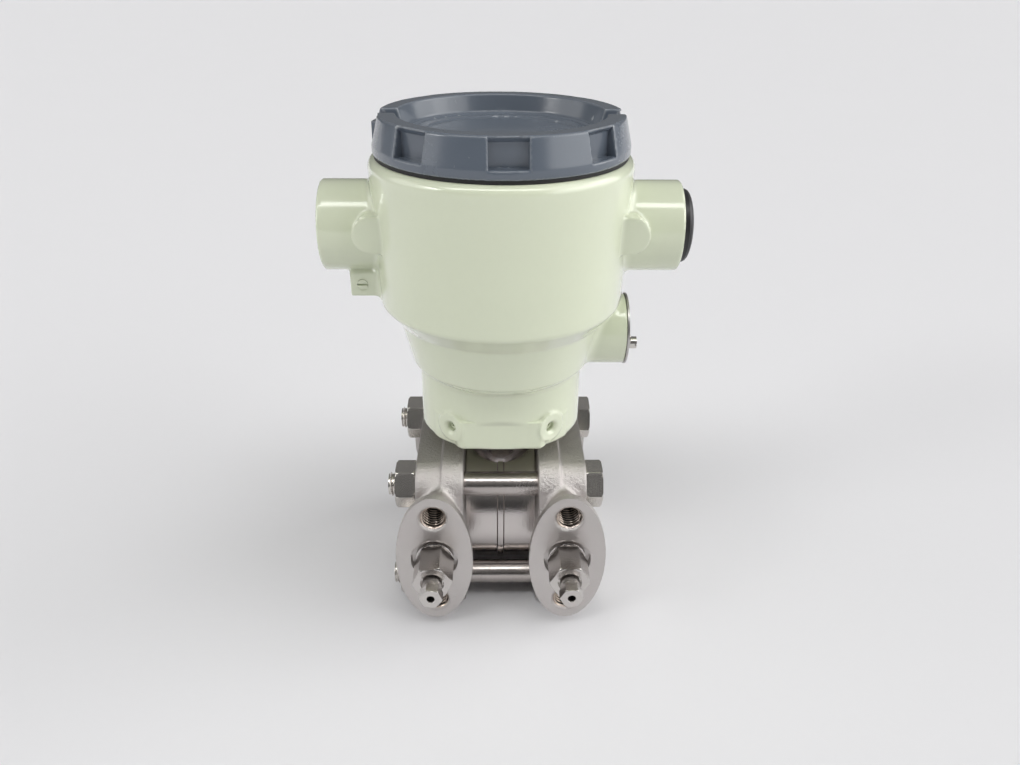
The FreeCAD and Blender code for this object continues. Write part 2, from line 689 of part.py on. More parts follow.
def make_nut(name):
    """A hexagon nut on -X of its bearing face at x = 0, bevelled at both ends."""
    body = new_body(name)
    sk = new_sketch(body, name + "_blank", "YZ_Plane")
    hexagon(sk, "hex_flats", "0")
    circle(sk, "0", "0", "bolt_dia + 2 * thread_clearance")
    pad(body, sk, "nut_height", reverse=True)
    bevel_hex(body, name + "_outer", "hex_flats", "-nut_height", "-nut_height + 2 * hex_bevel")
    bevel_hex(body, name + "_inner", "hex_flats", "0", "-2 * hex_bevel")
    return body


def four(make, word, x):
    pieces = []
    for k, (sy, sz) in enumerate((("-", ""), ("", ""), ("-", "-"), ("", "-"))):
        piece = make("%s_%d" % (word, k + 1))
        seat(piece, x, sy + "bolt_spacing_y / 2", sz + "bolt_spacing_z / 2")
        pieces.append(piece)
    return pieces


group("flange_bolts", four(make_bolt, "flange_bolt", "flange_inner + flange_thickness"))
group("flange_nuts", four(make_nut, "flange_nut", "-(flange_inner + flange_thickness)"))

# ---------------------------------------------------------------- vent valves
# Drawn about the port axis; distances run outwards along -Y from the middle of the flange.

SEAT_FLOOR = "(flange_depth / 2 - gasket_seat_depth)"
PLUG_END = "(%s + plug_collar_length + plug_hex_length)" % SEAT_FLOOR
STEM_START = "(%s - stem_inside)" % PLUG_END
BALL_AT = "(%s - ball_gap - ball_dia / 2)" % STEM_START
BALL_FLOOR = ("(%s - ball_gap - sqrt(ball_dia ^ 2 - plug_passage ^ 2) / 2)" % BALL_AT)


def turned_out(body, name, points):
    """A turned piece about the port axis from (distance outwards, radius) pairs."""
    sk = new_sketch(body, name, "YZ_Plane")
    outline(sk, [("-(%s)" % far, radius) for far, radius in points])
    return turn(body, sk, "H_Axis")


def make_vent_plug(name, twist):
    body = new_body(name)
    shank = "port_bore / 2 - plug_fit"
    turned_out(body, name + "_turned", [
        (SEAT_FLOOR + " - plug_shank_length", "0"),
        (SEAT_FLOOR + " - plug_shank_length", shank + " - 1"),
        (SEAT_FLOOR + " - plug_shank_length + 1", shank),
        (SEAT_FLOOR, shank),
        (SEAT_FLOOR, "plug_collar / 2"),
        (SEAT_FLOOR + " + plug_collar_length * 0.8", "plug_collar / 2"),
        (SEAT_FLOOR + " + plug_collar_length", "plug_collar / 2 - 0.3"),
        (SEAT_FLOOR + " + plug_collar_length", "0")])
    sk = new_sketch(body, name + "_hex", "XZ_Plane", SEAT_FLOOR + " + plug_collar_length")
    hexagon(sk, "plug_flats", twist)
    pad(body, sk, "plug_hex_length")
    sk = new_sketch(body, name + "_bevel", "YZ_Plane")
    outline(sk, [("-" + PLUG_END, "plug_flats * 0.5"),
                 ("-" + PLUG_END, "plug_flats * 0.62"),
                 ("-%s + 1" % PLUG_END, "plug_flats * 0.62")])
    groove(body, sk, "H_Axis")
    sk = new_sketch(body, name + "_bore", "YZ_Plane")
    outline(sk, [("-%s - 1" % PLUG_END, "0"),
                 ("-%s - 1" % PLUG_END, "plug_recess / 2"),
                 ("-%s + plug_recess_depth" % PLUG_END, "plug_recess / 2"),
                 ("-%s + plug_recess_depth" % PLUG_END, "stem_dia / 2 + plug_fit"),
                 ("-" + BALL_FLOOR, "stem_dia / 2 + plug_fit"),
                 ("-" + BALL_FLOOR, "plug_passage / 2"),
                 ("-%s + plug_shank_length + 1" % SEAT_FLOOR, "plug_passage / 2"),
                 ("-%s + plug_shank_length + 1" % SEAT_FLOOR, "0")])
    groove(body, sk, "H_Axis")
    return body


def make_vent_stem(name, twist):
    body = new_body(name)
    thread_start = STEM_START + " + stem_nose_length"
    recess_floor = PLUG_END + " - plug_recess_depth"
    hex_start = PLUG_END + " + stem_neck_length"
    turned_out(body, name + "_turned", [
        (STEM_START, "0"),
        (STEM_START, "stem_nose / 2"),
        (thread_start, "stem_nose / 2"),
        (thread_start + " + 0.4", "stem_dia / 2"),
        (recess_floor + " + 0.3", "stem_dia / 2"),
        (recess_floor + " + 0.3", "stem_neck / 2"),
        (hex_start + " - 1.4", "stem_neck / 2"),
        (hex_start + " - 1.0", "stem_neck / 2 - 0.4"),
        (hex_start + " + 0.5", "stem_neck / 2 - 0.4"),
        (hex_start + " + 0.5", "0")])
    sk = new_sketch(body, name + "_hex", "XZ_Plane", hex_start)
    hexagon(sk, "stem_flats", twist)
    pad(body, sk, "stem_hex_length")
    tip = hex_start + " + stem_hex_length"
    sk = new_sketch(body, name + "_bevel", "YZ_Plane")
    outline(sk, [("-(%s)" % tip, "stem_flats * 0.5"),
                 ("-(%s)" % tip, "stem_flats * 0.62"),
                 ("-(%s - 0.5)" % tip, "stem_flats * 0.62")])
    groove(body, sk, "H_Axis")
    sk = new_sketch(body, name + "_outlet", "XZ_Plane", tip)
    circle(sk, "0", "0", "vent_bore")
    cut(body, sk, "vent_bore_depth")
    sk = new_sketch(body, name + "_cross", "XY_Plane")
    circle(sk, "0", "-(%s - vent_bore_depth + vent_cross)" % tip, "vent_cross")
    cut(body, sk, "stem_dia + 2", both=True)
    return body


def make_ball(name):
    body = new_body(name)
    sphere = body.newObject("PartDesign::AdditiveSphere", name + "_sphere")
    bind(sphere, "Radius", "ball_dia / 2")
    sphere.AttachmentSupport = (plane(body, "XY_Plane"), "")
    sphere.MapMode = "FlatFace"
    bind(sphere, "AttachmentOffset.Base.y", "-" + BALL_AT)
    finish_feature(sphere, body)
    return body


for side, x, twist in (("high", "-port_pitch / 2", "plug_turn_high"),
                       ("low", "port_pitch / 2", "plug_turn_low")):
    seat(make_vent_plug("vent_plug_" + side, twist), x)
    seat(make_vent_stem("vent_stem_" + side, twist), x)
    seat(make_ball("vent_ball_" + side), x)

# ---------------------------------------------------------------- housing

def rounding(x, z, radius, start, end, steps=4):
    """Points on an arc about (x, z), from one angle to another in degrees."""
    return [("%s + %s * cos(%gdeg)" % (x, radius, start + (end - start) * k / steps),
             "%s + %s * sin(%gdeg)" % (z, radius, start + (end - start) * k / steps))
            for k in range(steps + 1)]


FLAT_Y = "(skirt_depth / 2 - flat_set_back)"
SET_BOSS_END = "(skirt_depth / 2 + set_boss_stand)"
LUG_X = "(drum_top_dia / 2 + lug_stand - lug_radius)"
BLOCK_END = "(drum_top_dia / 2 + block_stand)"
EARTH_SCREW_X = "(%s - earth_screw_inset)" % BLOCK_END

housing = new_body("housing")
sk = new_sketch(housing, "skirt_oval", "XY_Plane", "skirt_bottom")
ellipse(sk, "0", "0", "skirt_depth", "skirt_dia")
sk.AttachmentOffset = Placement(Vector(0, 0, value("skirt_bottom")), Rotation(Vector(0, 0, 1), 90))
pad(housing, sk, "waist_bottom - skirt_bottom")
foot = value("skirt_bottom")
soften(housing, "Chamfer", "skirt_edge", lambda e: abs(span(e, "z")[1] - foot) < 0.02)

# drum and waist above it
sk = new_sketch(housing, "housing_outer", "XZ_Plane")
outline(sk, [
    ("0", "skirt_top"),
    ("skirt_depth / 2 - 0.6", "skirt_top"),
    ("waist_dia / 2", "waist_bottom"),
    ("waist_top_dia / 2", "waist_top"),
    ("drum_dia / 2 - drum_shoulder / 4", "drum_bottom - 3 * drum_shoulder / 4"),
    ("drum_dia / 2", "drum_bottom"),
    ("drum_top_dia / 2", "drum_top - drum_edge")]
    + rounding("drum_top_dia / 2 - drum_edge", "drum_top - drum_edge", "drum_edge", 0, 90)[1:]
    + [("0", "drum_top")])
turn(housing, sk, "V_Axis")

# faceted collar round the front of the skirt, with the set screws' facets beside a flat
FACET_X = "(flat_width / 2 + collar_facet * cos(set_screw_angle * 1deg))"
FACET_Y = "(%s - collar_facet * sin(set_screw_angle * 1deg))" % FLAT_Y
sk = new_sketch(housing, "collar", "XY_Plane", "skirt_bottom")
outline(sk, [("-" + FACET_X, "0"), ("-" + FACET_X, "-" + FACET_Y),
             ("-flat_width / 2", "-" + FLAT_Y), ("flat_width / 2", "-" + FLAT_Y),
             (FACET_X, "-" + FACET_Y), (FACET_X, "0")])
pad(housing, sk, "collar_height")

# conduit bosses, one through the other side
sk = new_sketch(housing, "conduit_bosses", "YZ_Plane")
circle(sk, "0", "conduit_height", "conduit_dia")
pad(housing, sk, "2 * conduit_reach", both=True)

# cast lugs in front of the conduit bosses
for side, sign in (("low", ""), ("high", "-")):
    near, tip = sign + "(%s - 12)" % LUG_X, sign + "(%s + lug_radius)" % LUG_X
    sk = new_sketch(housing, "lug_" + side, "XZ_Plane", "lug_front")
    rectangle(sk, near, tip, "lug_height - lug_radius", "lug_height + lug_radius")
    pad(housing, sk, "lug_front - 4", reverse=True)
    tip_x = value(tip)
    soften(housing, "Fillet", "lug_radius - 0.1",
           lambda e: max(abs(x - tip_x) for x in span(e, "x")) < 0.02
           and span(e, "z")[1] - span(e, "z")[0] < 0.02)

# earth block under the high-side conduit, adjuster boss on the low side
sk = new_sketch(housing, "earth_block", "XZ_Plane", "block_front")
rectangle(sk, "-" + BLOCK_END, "16 - " + BLOCK_END, "block_bottom", "block_bottom + block_height")
pad(housing, sk, "block_depth", reverse=True)
sk = new_sketch(housing, "side_boss", "YZ_Plane", "side_boss_reach")
circle(sk, "0", "side_boss_height", "side_boss_dia")
pad(housing, sk, "side_boss_reach - neck_dia / 2 - 12", reverse=True)

# small bosses about the set screws
for side, sign in (("high", "-"), ("low", "")):
    sk = new_sketch(housing, "set_boss_" + side, "XZ_Plane", SET_BOSS_END,
                    swing=sign + "set_screw_angle")
    circle(sk, "0", "set_screw_height", "set_boss_dia")
    pad(housing, sk, SET_BOSS_END + " - neck_dia / 2 - 8", reverse=True)

# front flat of the skirt, with a slope that runs out above it
sk = new_sketch(housing, "front_flat", "YZ_Plane")
outline(sk, [
    ("-" + FLAT_Y, "skirt_bottom - 1"),
    ("-" + FLAT_Y, "skirt_bottom + collar_height"),
    ("-skirt_depth / 2 - 0.2", "skirt_bottom + collar_height + flat_slope"),
    ("-skirt_depth / 2 - 4", "skirt_bottom + collar_height + flat_slope"),
    ("-skirt_depth / 2 - 4", "skirt_bottom - 1")])
cut(housing, sk, "flat_width", both=True)

# chamber, cored hollow, lead bore and the socket for the neck
sk = new_sketch(housing, "housing_inner", "XZ_Plane")
outline(sk, [
    ("0", "drum_top + 1"),
    ("chamber_dia / 2", "drum_top + 1"),
    ("chamber_dia / 2", "chamber_floor"),
    ("core_top_dia / 2", "chamber_floor"),
    ("core_bottom_dia / 2", "core_floor"),
    ("lead_bore / 2", "core_floor"),
    ("lead_bore / 2", "socket_top"),
    ("neck_dia / 2 + swivel_clearance", "socket_top"),
    ("neck_dia / 2 + swivel_clearance", "skirt_bottom - 1"),
    ("0", "skirt_bottom - 1")])
groove(housing, sk, "V_Axis")

# conduit entries
for side, sign, back in (("low", "", False), ("high", "-", True)):
    for tag, diameter, depth in (
            ("thread", "conduit_bore", "conduit_thread_length"),
            ("passage", "conduit_passage", "conduit_reach - chamber_dia / 2 + 4")):
        sk = new_sketch(housing, "conduit_%s_%s" % (tag, side), "YZ_Plane",
                        sign + "conduit_reach")
        circle(sk, "0", "conduit_height", diameter)
        cut(housing, sk, depth, reverse=back)

# holes: set screws, earth screw, adjuster, its plate, the module
for side, sign in (("high", "-"), ("low", "")):
    sk = new_sketch(housing, "set_hole_" + side, "XZ_Plane", SET_BOSS_END,
                    swing=sign + "set_screw_angle")
    circle(sk, "0", "set_screw_height", "set_screw_dia + 2 * screw_fit")
    cut(housing, sk, SET_BOSS_END + " - neck_dia / 2 + 1")
    hole_r, reach = value("set_screw_dia / 2 + screw_fit"), value(SET_BOSS_END)
    soften(housing, "Chamfer", "set_boss_crater",
           lambda e: is_circle(e, hole_r) and abs(math.hypot(
               e.BoundBox.Center.x, e.BoundBox.Center.y) - reach) < 0.3
           and e.BoundBox.Center.x * (-1 if sign else 1) > 0)
sk = new_sketch(housing, "earth_hole", "XZ_Plane", "block_front")
circle(sk, "-" + EARTH_SCREW_X, "earth_screw_height", "earth_screw_dia + 2 * screw_fit")
cut(housing, sk, "earth_screw_depth + 1")
sk = new_sketch(housing, "adjuster_hole", "YZ_Plane", "side_boss_reach")
circle(sk, "0", "side_boss_height - adjuster_drop", "adjuster_shaft + 2 * adjuster_clearance")
cut(housing, sk, "adjuster_depth + 1")
sk = new_sketch(housing, "side_plate_holes", "YZ_Plane", "side_boss_reach")
for sign in ("-", ""):
    circle(sk, sign + "side_plate_screw_offset", "side_boss_height",
           "side_plate_screw_dia + 2 * screw_fit")
cut(housing, sk, "6")
MODULE_SPOTS = [("module_screw_circle / 2 * cos(%ddeg)" % a,
                 "module_screw_circle / 2 * sin(%ddeg)" % a) for a in (90, 210, 330)]
sk = new_sketch(housing, "module_holes", "XY_Plane", "chamber_floor")
for x, y in MODULE_SPOTS:
    circle(sk, x, y, "module_screw_dia + 2 * screw_fit")
cut(housing, sk, "module_screw_depth + 1")
seat(housing)

# ---------------------------------------------------------------- screws and plate of the housing

def make_set_screw(name, sign):
    """A headless screw from its boss to the groove in the neck."""
    body = new_body(name)
    swing = sign + "set_screw_angle"
    length = (SET_BOSS_END + " - set_screw_sink - neck_dia / 2 + neck_groove_depth"
              " - set_screw_play")
    sk = new_sketch(body, name + "_round", "XZ_Plane", SET_BOSS_END + " - set_screw_sink",
                    swing=swing)
    circle(sk, "0", "set_screw_height", "set_screw_dia")
    pad(body, sk, length, reverse=True)
    sk = new_sketch(body, name + "_socket", "XZ_Plane", SET_BOSS_END + " - set_screw_sink",
                    swing=swing)
    points = [("set_screw_dia * 0.29 * cos(%ddeg)" % a,
               "set_screw_height + set_screw_dia * 0.29 * sin(%ddeg)" % a)
              for a in range(0, 360, 60)]
    outline(sk, points)
    cut(body, sk, "set_screw_dia / 2")
    seat(body)
    return body


group("set_screws", [make_set_screw("set_screw_high", "-"), make_set_screw("set_screw_low", "")])

earth = new_body("earth_screw")
sk = new_sketch(earth, "earth_screw_round", "XZ_Plane", "block_front + 0.3")
circle(sk, "-" + EARTH_SCREW_X, "earth_screw_height", "earth_screw_dia")
pad(earth, sk, "earth_screw_depth", reverse=True)
sk = new_sketch(earth, "earth_screw_slot", "XZ_Plane", "block_front + 0.3")
rectangle(sk, "-earth_screw_dia - " + EARTH_SCREW_X, "earth_screw_dia - " + EARTH_SCREW_X,
          "earth_screw_height - 0.4", "earth_screw_height + 0.4")
cut(earth, sk, "0.8")
seat(earth)

plate = new_body("adjuster_plate")
sk = new_sketch(plate, "plate_disc", "YZ_Plane", "side_boss_reach")
circle(sk, "0", "side_boss_height", "side_boss_dia + 0.4")
circle(sk, "0", "side_boss_height - adjuster_drop", "adjuster_shaft + 2 * adjuster_clearance")
for sign in ("-", ""):
    circle(sk, sign + "side_plate_screw_offset", "side_boss_height",
           "side_plate_screw_dia + 2 * screw_fit")
pad(plate, sk, "side_plate_thickness")
seat(plate)


def make_plate_screw(name, sign):
    body = new_body(name)
    sk = new_sketch(body, name + "_round", "YZ_Plane", "side_boss_reach + side_plate_thickness")
    circle(sk, sign + "side_plate_screw_offset", "side_boss_height", "side_plate_screw_dia")
    pad(body, sk, "side_plate_thickness + 5", reverse=True)
    sk = new_sketch(body, name + "_head", "YZ_Plane", "side_boss_reach + side_plate_thickness")
    circle(sk, sign + "side_plate_screw_offset", "side_boss_height", "side_plate_screw_dia * 1.8")
    pad(body, sk, "0.6")
    seat(body)
    return body


group("adjuster_plate_screws",
      [make_plate_screw("plate_screw_front", "-"), make_plate_screw("plate_screw_rear", "")])

adjuster = new_body("zero_adjuster")
PLATE_FACE = "(side_boss_reach + side_plate_thickness + adjuster_clearance)"
sk = new_sketch(adjuster, "adjuster_head", "YZ_Plane", PLATE_FACE)
circle(sk, "0", "side_boss_height - adjuster_drop", "adjuster_dia")
pad(adjuster, sk, "adjuster_reach - adjuster_clearance")
sk = new_sketch(adjuster, "adjuster_shaft_round", "YZ_Plane", PLATE_FACE)
circle(sk, "0", "side_boss_height - adjuster_drop", "adjuster_shaft")
pad(adjuster, sk, "adjuster_depth", reverse=True)
sk = new_sketch(adjuster, "adjuster_slot_cut", "YZ_Plane",
                "side_boss_reach + side_plate_thickness + adjuster_reach")
rectangle(sk, "-adjuster_dia", "adjuster_dia",
          "side_boss_height - adjuster_drop - adjuster_slot / 2",
          "side_boss_height - adjuster_drop + adjuster_slot / 2")
cut(adjuster, sk, "adjuster_slot")
seat(adjuster)

# ---------------------------------------------------------------- cover and gasket
# Both are drawn from their own lower face.

gasket = new_body("cover_gasket")
sk = new_sketch(gasket, "gasket_ring", "XY_Plane")
circle(sk, "0", "0", "gasket_outer")
circle(sk, "0", "0", "chamber_dia + 0.4")
pad(gasket, sk, "cover_gap")
seat(gasket, z="drum_top")

cover = new_body("cover")
sk = new_sketch(cover, "cover_profile", "XZ_Plane")
dish = "cover_height - cover_dish_depth"
under = dish + " - cover_disc_depth - cover_wall"
thread = "(chamber_dia / 2 - cover_thread_clearance)"
outline(sk, [
    ("0", dish + " - cover_disc_depth"),
    ("cover_disc / 2", dish + " - cover_disc_depth"),
    ("cover_disc / 2", dish),
    ("cover_dish / 2 - 2.2 * cover_bead", dish),
    ("cover_dish / 2 - 1.9 * cover_bead", dish + " + cover_bead_height"),
    ("cover_dish / 2 - 1.2 * cover_bead", dish + " + cover_bead_height"),
    ("cover_dish / 2 - 0.9 * cover_bead", dish),
    ("cover_dish / 2", dish),
    ("cover_mouth / 2", "cover_height"),
    ("cover_top_dia / 2 - cover_edge", "cover_height"),
    ("cover_top_dia / 2", "cover_height - cover_edge"),
    ("cover_dia / 2", "notch_bottom"),
    ("cover_dia / 2", "0"),
    (thread, "0"),
    (thread, "-cover_thread_length"),
    (thread + " - cover_thread_wall", "-cover_thread_length"),
    (thread + " - cover_thread_wall", under + " - 1"),
    (thread + " - cover_thread_wall - 1", under),
    ("0", under)])
turn(cover, sk, "V_Axis")
sk = new_sketch(cover, "grip_notch", "XY_Plane", "notch_bottom", spin="notch_turn")
rectangle(sk, "-notch_width / 2", "notch_width / 2",
          "-cover_dia / 2 - 4", "-cover_top_dia / 2 + notch_depth")
notch = cut(cover, sk, "cover_height", reverse=True)
repeat_round(cover, notch, "Z_Axis", "notch_count")
sk = new_sketch(cover, "bar_slots", "YZ_Plane")
rectangle(sk, "-slot_width / 2", "slot_width / 2", "cover_height - slot_depth", "cover_height + 1")
cut(cover, sk, "cover_dia + 2", both=True)
sk = new_sketch(cover, "locking_tab", "XZ_Plane", "tab_reach", swing="-tab_turn")
rectangle(sk, "-tab_width / 2", "tab_width / 2", "0.9", "0.9 + tab_height")
pad(cover, sk, "tab_reach - cover_mouth / 2 - 3", reverse=True)
seat(cover, z="drum_top + cover_gap")

# ---------------------------------------------------------------- inside the chamber

module = new_body("amplifier_module")
sk = new_sketch(module, "module_disc", "XY_Plane")
circle(sk, "0", "0", "module_dia")
for x, y in MODULE_SPOTS:
    circle(sk, x, y, "module_screw_dia + 2 * module_hole_play")
pad(module, sk, "module_height")
seat(module, z="chamber_floor")

MODULE_TOP = "chamber_floor + module_height"


def make_module_screw(name, spot):
    """A pan-head screw through the module, drawn from the top of the module."""
    body = new_body(name)
    sk = new_sketch(body, name + "_profile", "XZ_Plane")
    end = "-module_height - module_screw_depth"
    outline(sk, [("0", "1.8"), ("module_screw_head * 0.4", "1.8"),
                 ("module_screw_head / 2", "1.2"), ("module_screw_head / 2", "0"),
                 ("module_screw_dia / 2", "0"), ("module_screw_dia / 2", end), ("0", end)])
    turn(body, sk, "V_Axis")
    sk = new_sketch(body, name + "_slot", "XY_Plane", "1.8")
    rectangle(sk, "-module_screw_head", "module_screw_head", "-0.35", "0.35")
    cut(body, sk, "0.8")
    seat(body, spot[0], spot[1], MODULE_TOP)
    return body


group("module_screws",
      [make_module_screw("module_screw_%d" % (k + 1), spot) for k, spot in enumerate(MODULE_SPOTS)])

block = new_body("terminal_block")
sk = new_sketch(block, "block_base", "XY_Plane")
rectangle(sk, "-terminal_length / 2", "terminal_length / 2",
          "-terminal_depth / 2", "terminal_depth / 2")
pad(block, sk, "terminal_height - terminal_barrier_height")
sk = new_sketch(block, "block_barriers", "XY_Plane", "terminal_height - terminal_barrier_height")
for k in (-1.5, -0.5, 0.5, 1.5):
    rectangle(sk, "%s * terminal_pitch - terminal_barrier / 2" % k,
              "%s * terminal_pitch + terminal_barrier / 2" % k,
              "-terminal_depth / 2", "terminal_depth / 2")
pad(block, sk, "terminal_barrier_height")
sk = new_sketch(block, "block_holes", "XY_Plane", "terminal_height - terminal_barrier_height")
for k in (-1, 0, 1):
    circle(sk, "%d * terminal_pitch" % k, "0", "terminal_screw_dia + 2 * screw_fit")
cut(block, sk, "terminal_height - terminal_barrier_height - 1")
seat(block, z=MODULE_TOP)


def make_terminal_screw(name, k):
    body = new_body(name)
    sk = new_sketch(body, name + "_profile", "XZ_Plane")
    end = "-(terminal_height - terminal_barrier_height - 1.5)"
    outline(sk, [("0", "terminal_head_height"),
                 ("terminal_head_dia * 0.4", "terminal_head_height"),
                 ("terminal_head_dia / 2", "terminal_head_height * 0.6"),
                 ("terminal_head_dia / 2", "0"),
                 ("terminal_screw_dia / 2", "0"),
                 ("terminal_screw_dia / 2", end), ("0", end)])
    turn(body, sk, "V_Axis")
    sk = new_sketch(body, name + "_slot", "XY_Plane", "terminal_head_height")
    rectangle(sk, "-terminal_head_dia", "terminal_head_dia", "-0.4", "0.4")
    cut(body, sk, "1")
    seat(body, "%d * terminal_pitch" % k, "0",
         MODULE_TOP + " + terminal_height - terminal_barrier_height")
    return body


group("terminal_screws", [make_terminal_screw("terminal_screw_%d" % (k + 2), k) for k in (-1, 0, 1)])

# ---------------------------------------------------------------- dust cap

cap = new_body("conduit_cap")
sk = new_sketch(cap, "cap_profile", "XY_Plane")
shank = "(conduit_bore / 2 - cap_shank_clearance)"
outline(sk, [
    ("-cap_shank_length", shank + " - cap_wall"),
    ("-cap_shank_length", shank),
    ("0", shank),
    ("0", "cap_dia / 2"),
    ("cap_rim", "cap_dia / 2"),
    ("cap_rim + cap_dome * 0.45", "cap_dia * 0.42"),
    ("cap_rim + cap_dome * 0.8", "cap_dia * 0.29"),
    ("cap_rim + cap_dome * 0.97", "cap_dia * 0.14"),
    ("cap_rim + cap_dome", "0"),
    ("0.6", "0"),
    ("0.6", shank + " - cap_wall")])
turn(cap, sk, "H_Axis")
seat(cap, "conduit_reach", "0", "conduit_height")

# ---------------------------------------------------------------- checks and files

NODES = [
    "process_flange_high", "process_flange_low", "capsule_body", "isolating_diaphragms",
    "capsule_gaskets", "flange_bolts", "flange_nuts", "vent_plug_high", "vent_plug_low",
    "vent_stem_high", "vent_stem_low", "vent_ball_high", "vent_ball_low", "housing",
    "set_screws", "earth_screw", "adjuster_plate", "adjuster_plate_screws", "zero_adjuster",
    "cover_gasket", "cover", "amplifier_module", "module_screws", "terminal_block",
    "terminal_screws", "conduit_cap"]

doc.recompute()
for thing in doc.Objects:
    if "Invalid" in thing.State or "Error" in thing.State:
        raise RuntimeError("%s did not build: %s" % (thing.Name, thing.State))
by_label = dict((thing.Label, thing) for thing in doc.Objects)
for name in NODES:
    shape = by_label[name].Shape
    if shape.isNull() or not shape.isValid():
        raise RuntimeError(name + " has no valid shape")
os.makedirs("parts", exist_ok=True)
for name in NODES:
    by_label[name].Shape.exportStep(os.path.join("parts", name + ".step"))
    box = by_label[name].Shape.BoundBox
    print("%-24s solids %d  x %.2f %.2f  y %.2f %.2f  z %.2f %.2f  volume %.1f" % (
        name, len(by_label[name].Shape.Solids), box.XMin, box.XMax, box.YMin, box.YMax,
        box.ZMin, box.ZMax, by_label[name].Shape.Volume))
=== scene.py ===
"""Looks of the differential pressure transmitter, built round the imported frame.

The castings, fasteners and vent valves are made as smooth skins over distance fields, in
millimetres and in the frame's own axes, and every piece rides on its own body.
"""
import bpy
import math
import numpy as np
from mathutils import Matrix, Vector


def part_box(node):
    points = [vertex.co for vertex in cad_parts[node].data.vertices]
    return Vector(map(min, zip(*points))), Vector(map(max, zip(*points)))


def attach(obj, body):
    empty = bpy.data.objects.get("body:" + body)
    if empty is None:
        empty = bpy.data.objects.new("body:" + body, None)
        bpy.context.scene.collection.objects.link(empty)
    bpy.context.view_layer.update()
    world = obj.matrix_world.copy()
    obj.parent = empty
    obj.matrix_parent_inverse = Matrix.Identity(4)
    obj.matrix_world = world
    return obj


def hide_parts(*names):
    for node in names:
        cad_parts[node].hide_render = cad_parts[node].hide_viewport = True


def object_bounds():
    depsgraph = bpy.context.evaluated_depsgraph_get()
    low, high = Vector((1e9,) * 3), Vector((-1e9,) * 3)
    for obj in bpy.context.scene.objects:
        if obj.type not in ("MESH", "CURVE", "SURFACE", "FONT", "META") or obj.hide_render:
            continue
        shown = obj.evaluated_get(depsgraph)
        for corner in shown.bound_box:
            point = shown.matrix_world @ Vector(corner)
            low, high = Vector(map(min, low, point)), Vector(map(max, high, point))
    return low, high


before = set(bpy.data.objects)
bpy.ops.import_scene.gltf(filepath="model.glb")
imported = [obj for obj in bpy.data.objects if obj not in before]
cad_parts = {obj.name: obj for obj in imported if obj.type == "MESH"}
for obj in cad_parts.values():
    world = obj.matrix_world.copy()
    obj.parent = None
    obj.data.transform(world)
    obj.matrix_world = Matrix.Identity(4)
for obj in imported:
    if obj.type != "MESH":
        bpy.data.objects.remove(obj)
cad_low, cad_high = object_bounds()
MM = 0.001


def node_box(node):
    """Lowest and highest corner of a solid, in millimetres."""
    low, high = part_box(node)
    return np.array(low) / MM, np.array(high) / MM


cover_low, cover_high = node_box("cover")
gasket_low, gasket_high = node_box("cover_gasket")
housing_low, housing_high = node_box("housing")
flange_low, flange_high = node_box("process_flange_low")
nuts_low, nuts_high = node_box("flange_nuts")
plug_low, plug_high = node_box("vent_plug_low")

# what several pieces share: the neck's axis, the ports, the faces and holes of the flanges
AXIS_Y = (gasket_low[1] + gasket_high[1]) / 2
PORT_X = (plug_low[0] + plug_high[0]) / 2
FACE = (flange_high[1] - flange_low[1]) / 2
HOLE_Z = 20.65
HOLE_RADIUS = {-1: 5.05, 1: 4.87}
BOLT_Y, BOLT_Z = 27.3, 23.3
BOLT_RADIUS = 5.0
FINE = 1.0

# -------------------- distance fields


def soft_union(a, b, fillet):
    """Joins two fields with a fillet of about this size between them."""
    h = np.clip(0.5 + 0.5 * (b - a) / fillet, 0, 1)
    return b + (a - b) * h - fillet * h * (1 - h)


def soft_cut(a, b, edge):
    """Takes field b away from field a and rounds the edge that is left."""
    return -soft_union(-a, b, edge)


def soft_common(a, b, edge):
    """What two fields share, with the edge between them rounded."""
    return -soft_union(-a, -b, edge)


def rod(p, axis, centre, radius, start, end, edge=0.3):
    """A round bar along an axis through centre, with rounded rims."""
    others = [i for i in range(3) if i != axis]
    radial = np.hypot(p[others[0]] - centre[others[0]], p[others[1]] - centre[others[1]])
    radial = radial - radius + edge
    along = np.abs(p[axis] - (start + end) / 2) - (end - start) / 2 + edge
    inside = np.minimum(np.maximum(radial, along), 0)
    return inside + np.hypot(np.maximum(radial, 0), np.maximum(along, 0)) - edge


def block(p, low, high, edge=0.3):
    """A box with rounded edges."""
    q = [np.abs(p[i] - (low[i] + high[i]) / 2) - (high[i] - low[i]) / 2 + edge for i in range(3)]
    outside = np.sqrt(sum(np.maximum(k, 0) ** 2 for k in q))
    return outside + np.minimum(np.maximum(np.maximum(q[0], q[1]), q[2]), 0) - edge


def plate(p, half_y, half_z, corner, start, end, edge):
    """A plate across X with rounded corners."""
    qy = np.abs(p[1] - AXIS_Y) - half_y + corner
    qz = np.abs(p[2]) - half_z + corner
    flat = np.hypot(np.maximum(qy, 0), np.maximum(qz, 0)) + np.minimum(np.maximum(qy, qz), 0)
    flat = flat - corner + edge
    along = np.abs(p[0] - (start + end) / 2) - (end - start) / 2 + edge
    inside = np.minimum(np.maximum(flat, along), 0)
    return inside + np.hypot(np.maximum(flat, 0), np.maximum(along, 0)) - edge


def oval(u, v, half_u, half_v):
    """Distance to an ellipse, close enough near its edge."""
    k0 = np.hypot(u / half_u, v / half_v)
    k1 = np.hypot(u / half_u ** 2, v / half_v ** 2)
    return k0 * (k0 - 1) / np.maximum(k1, 1e-6)


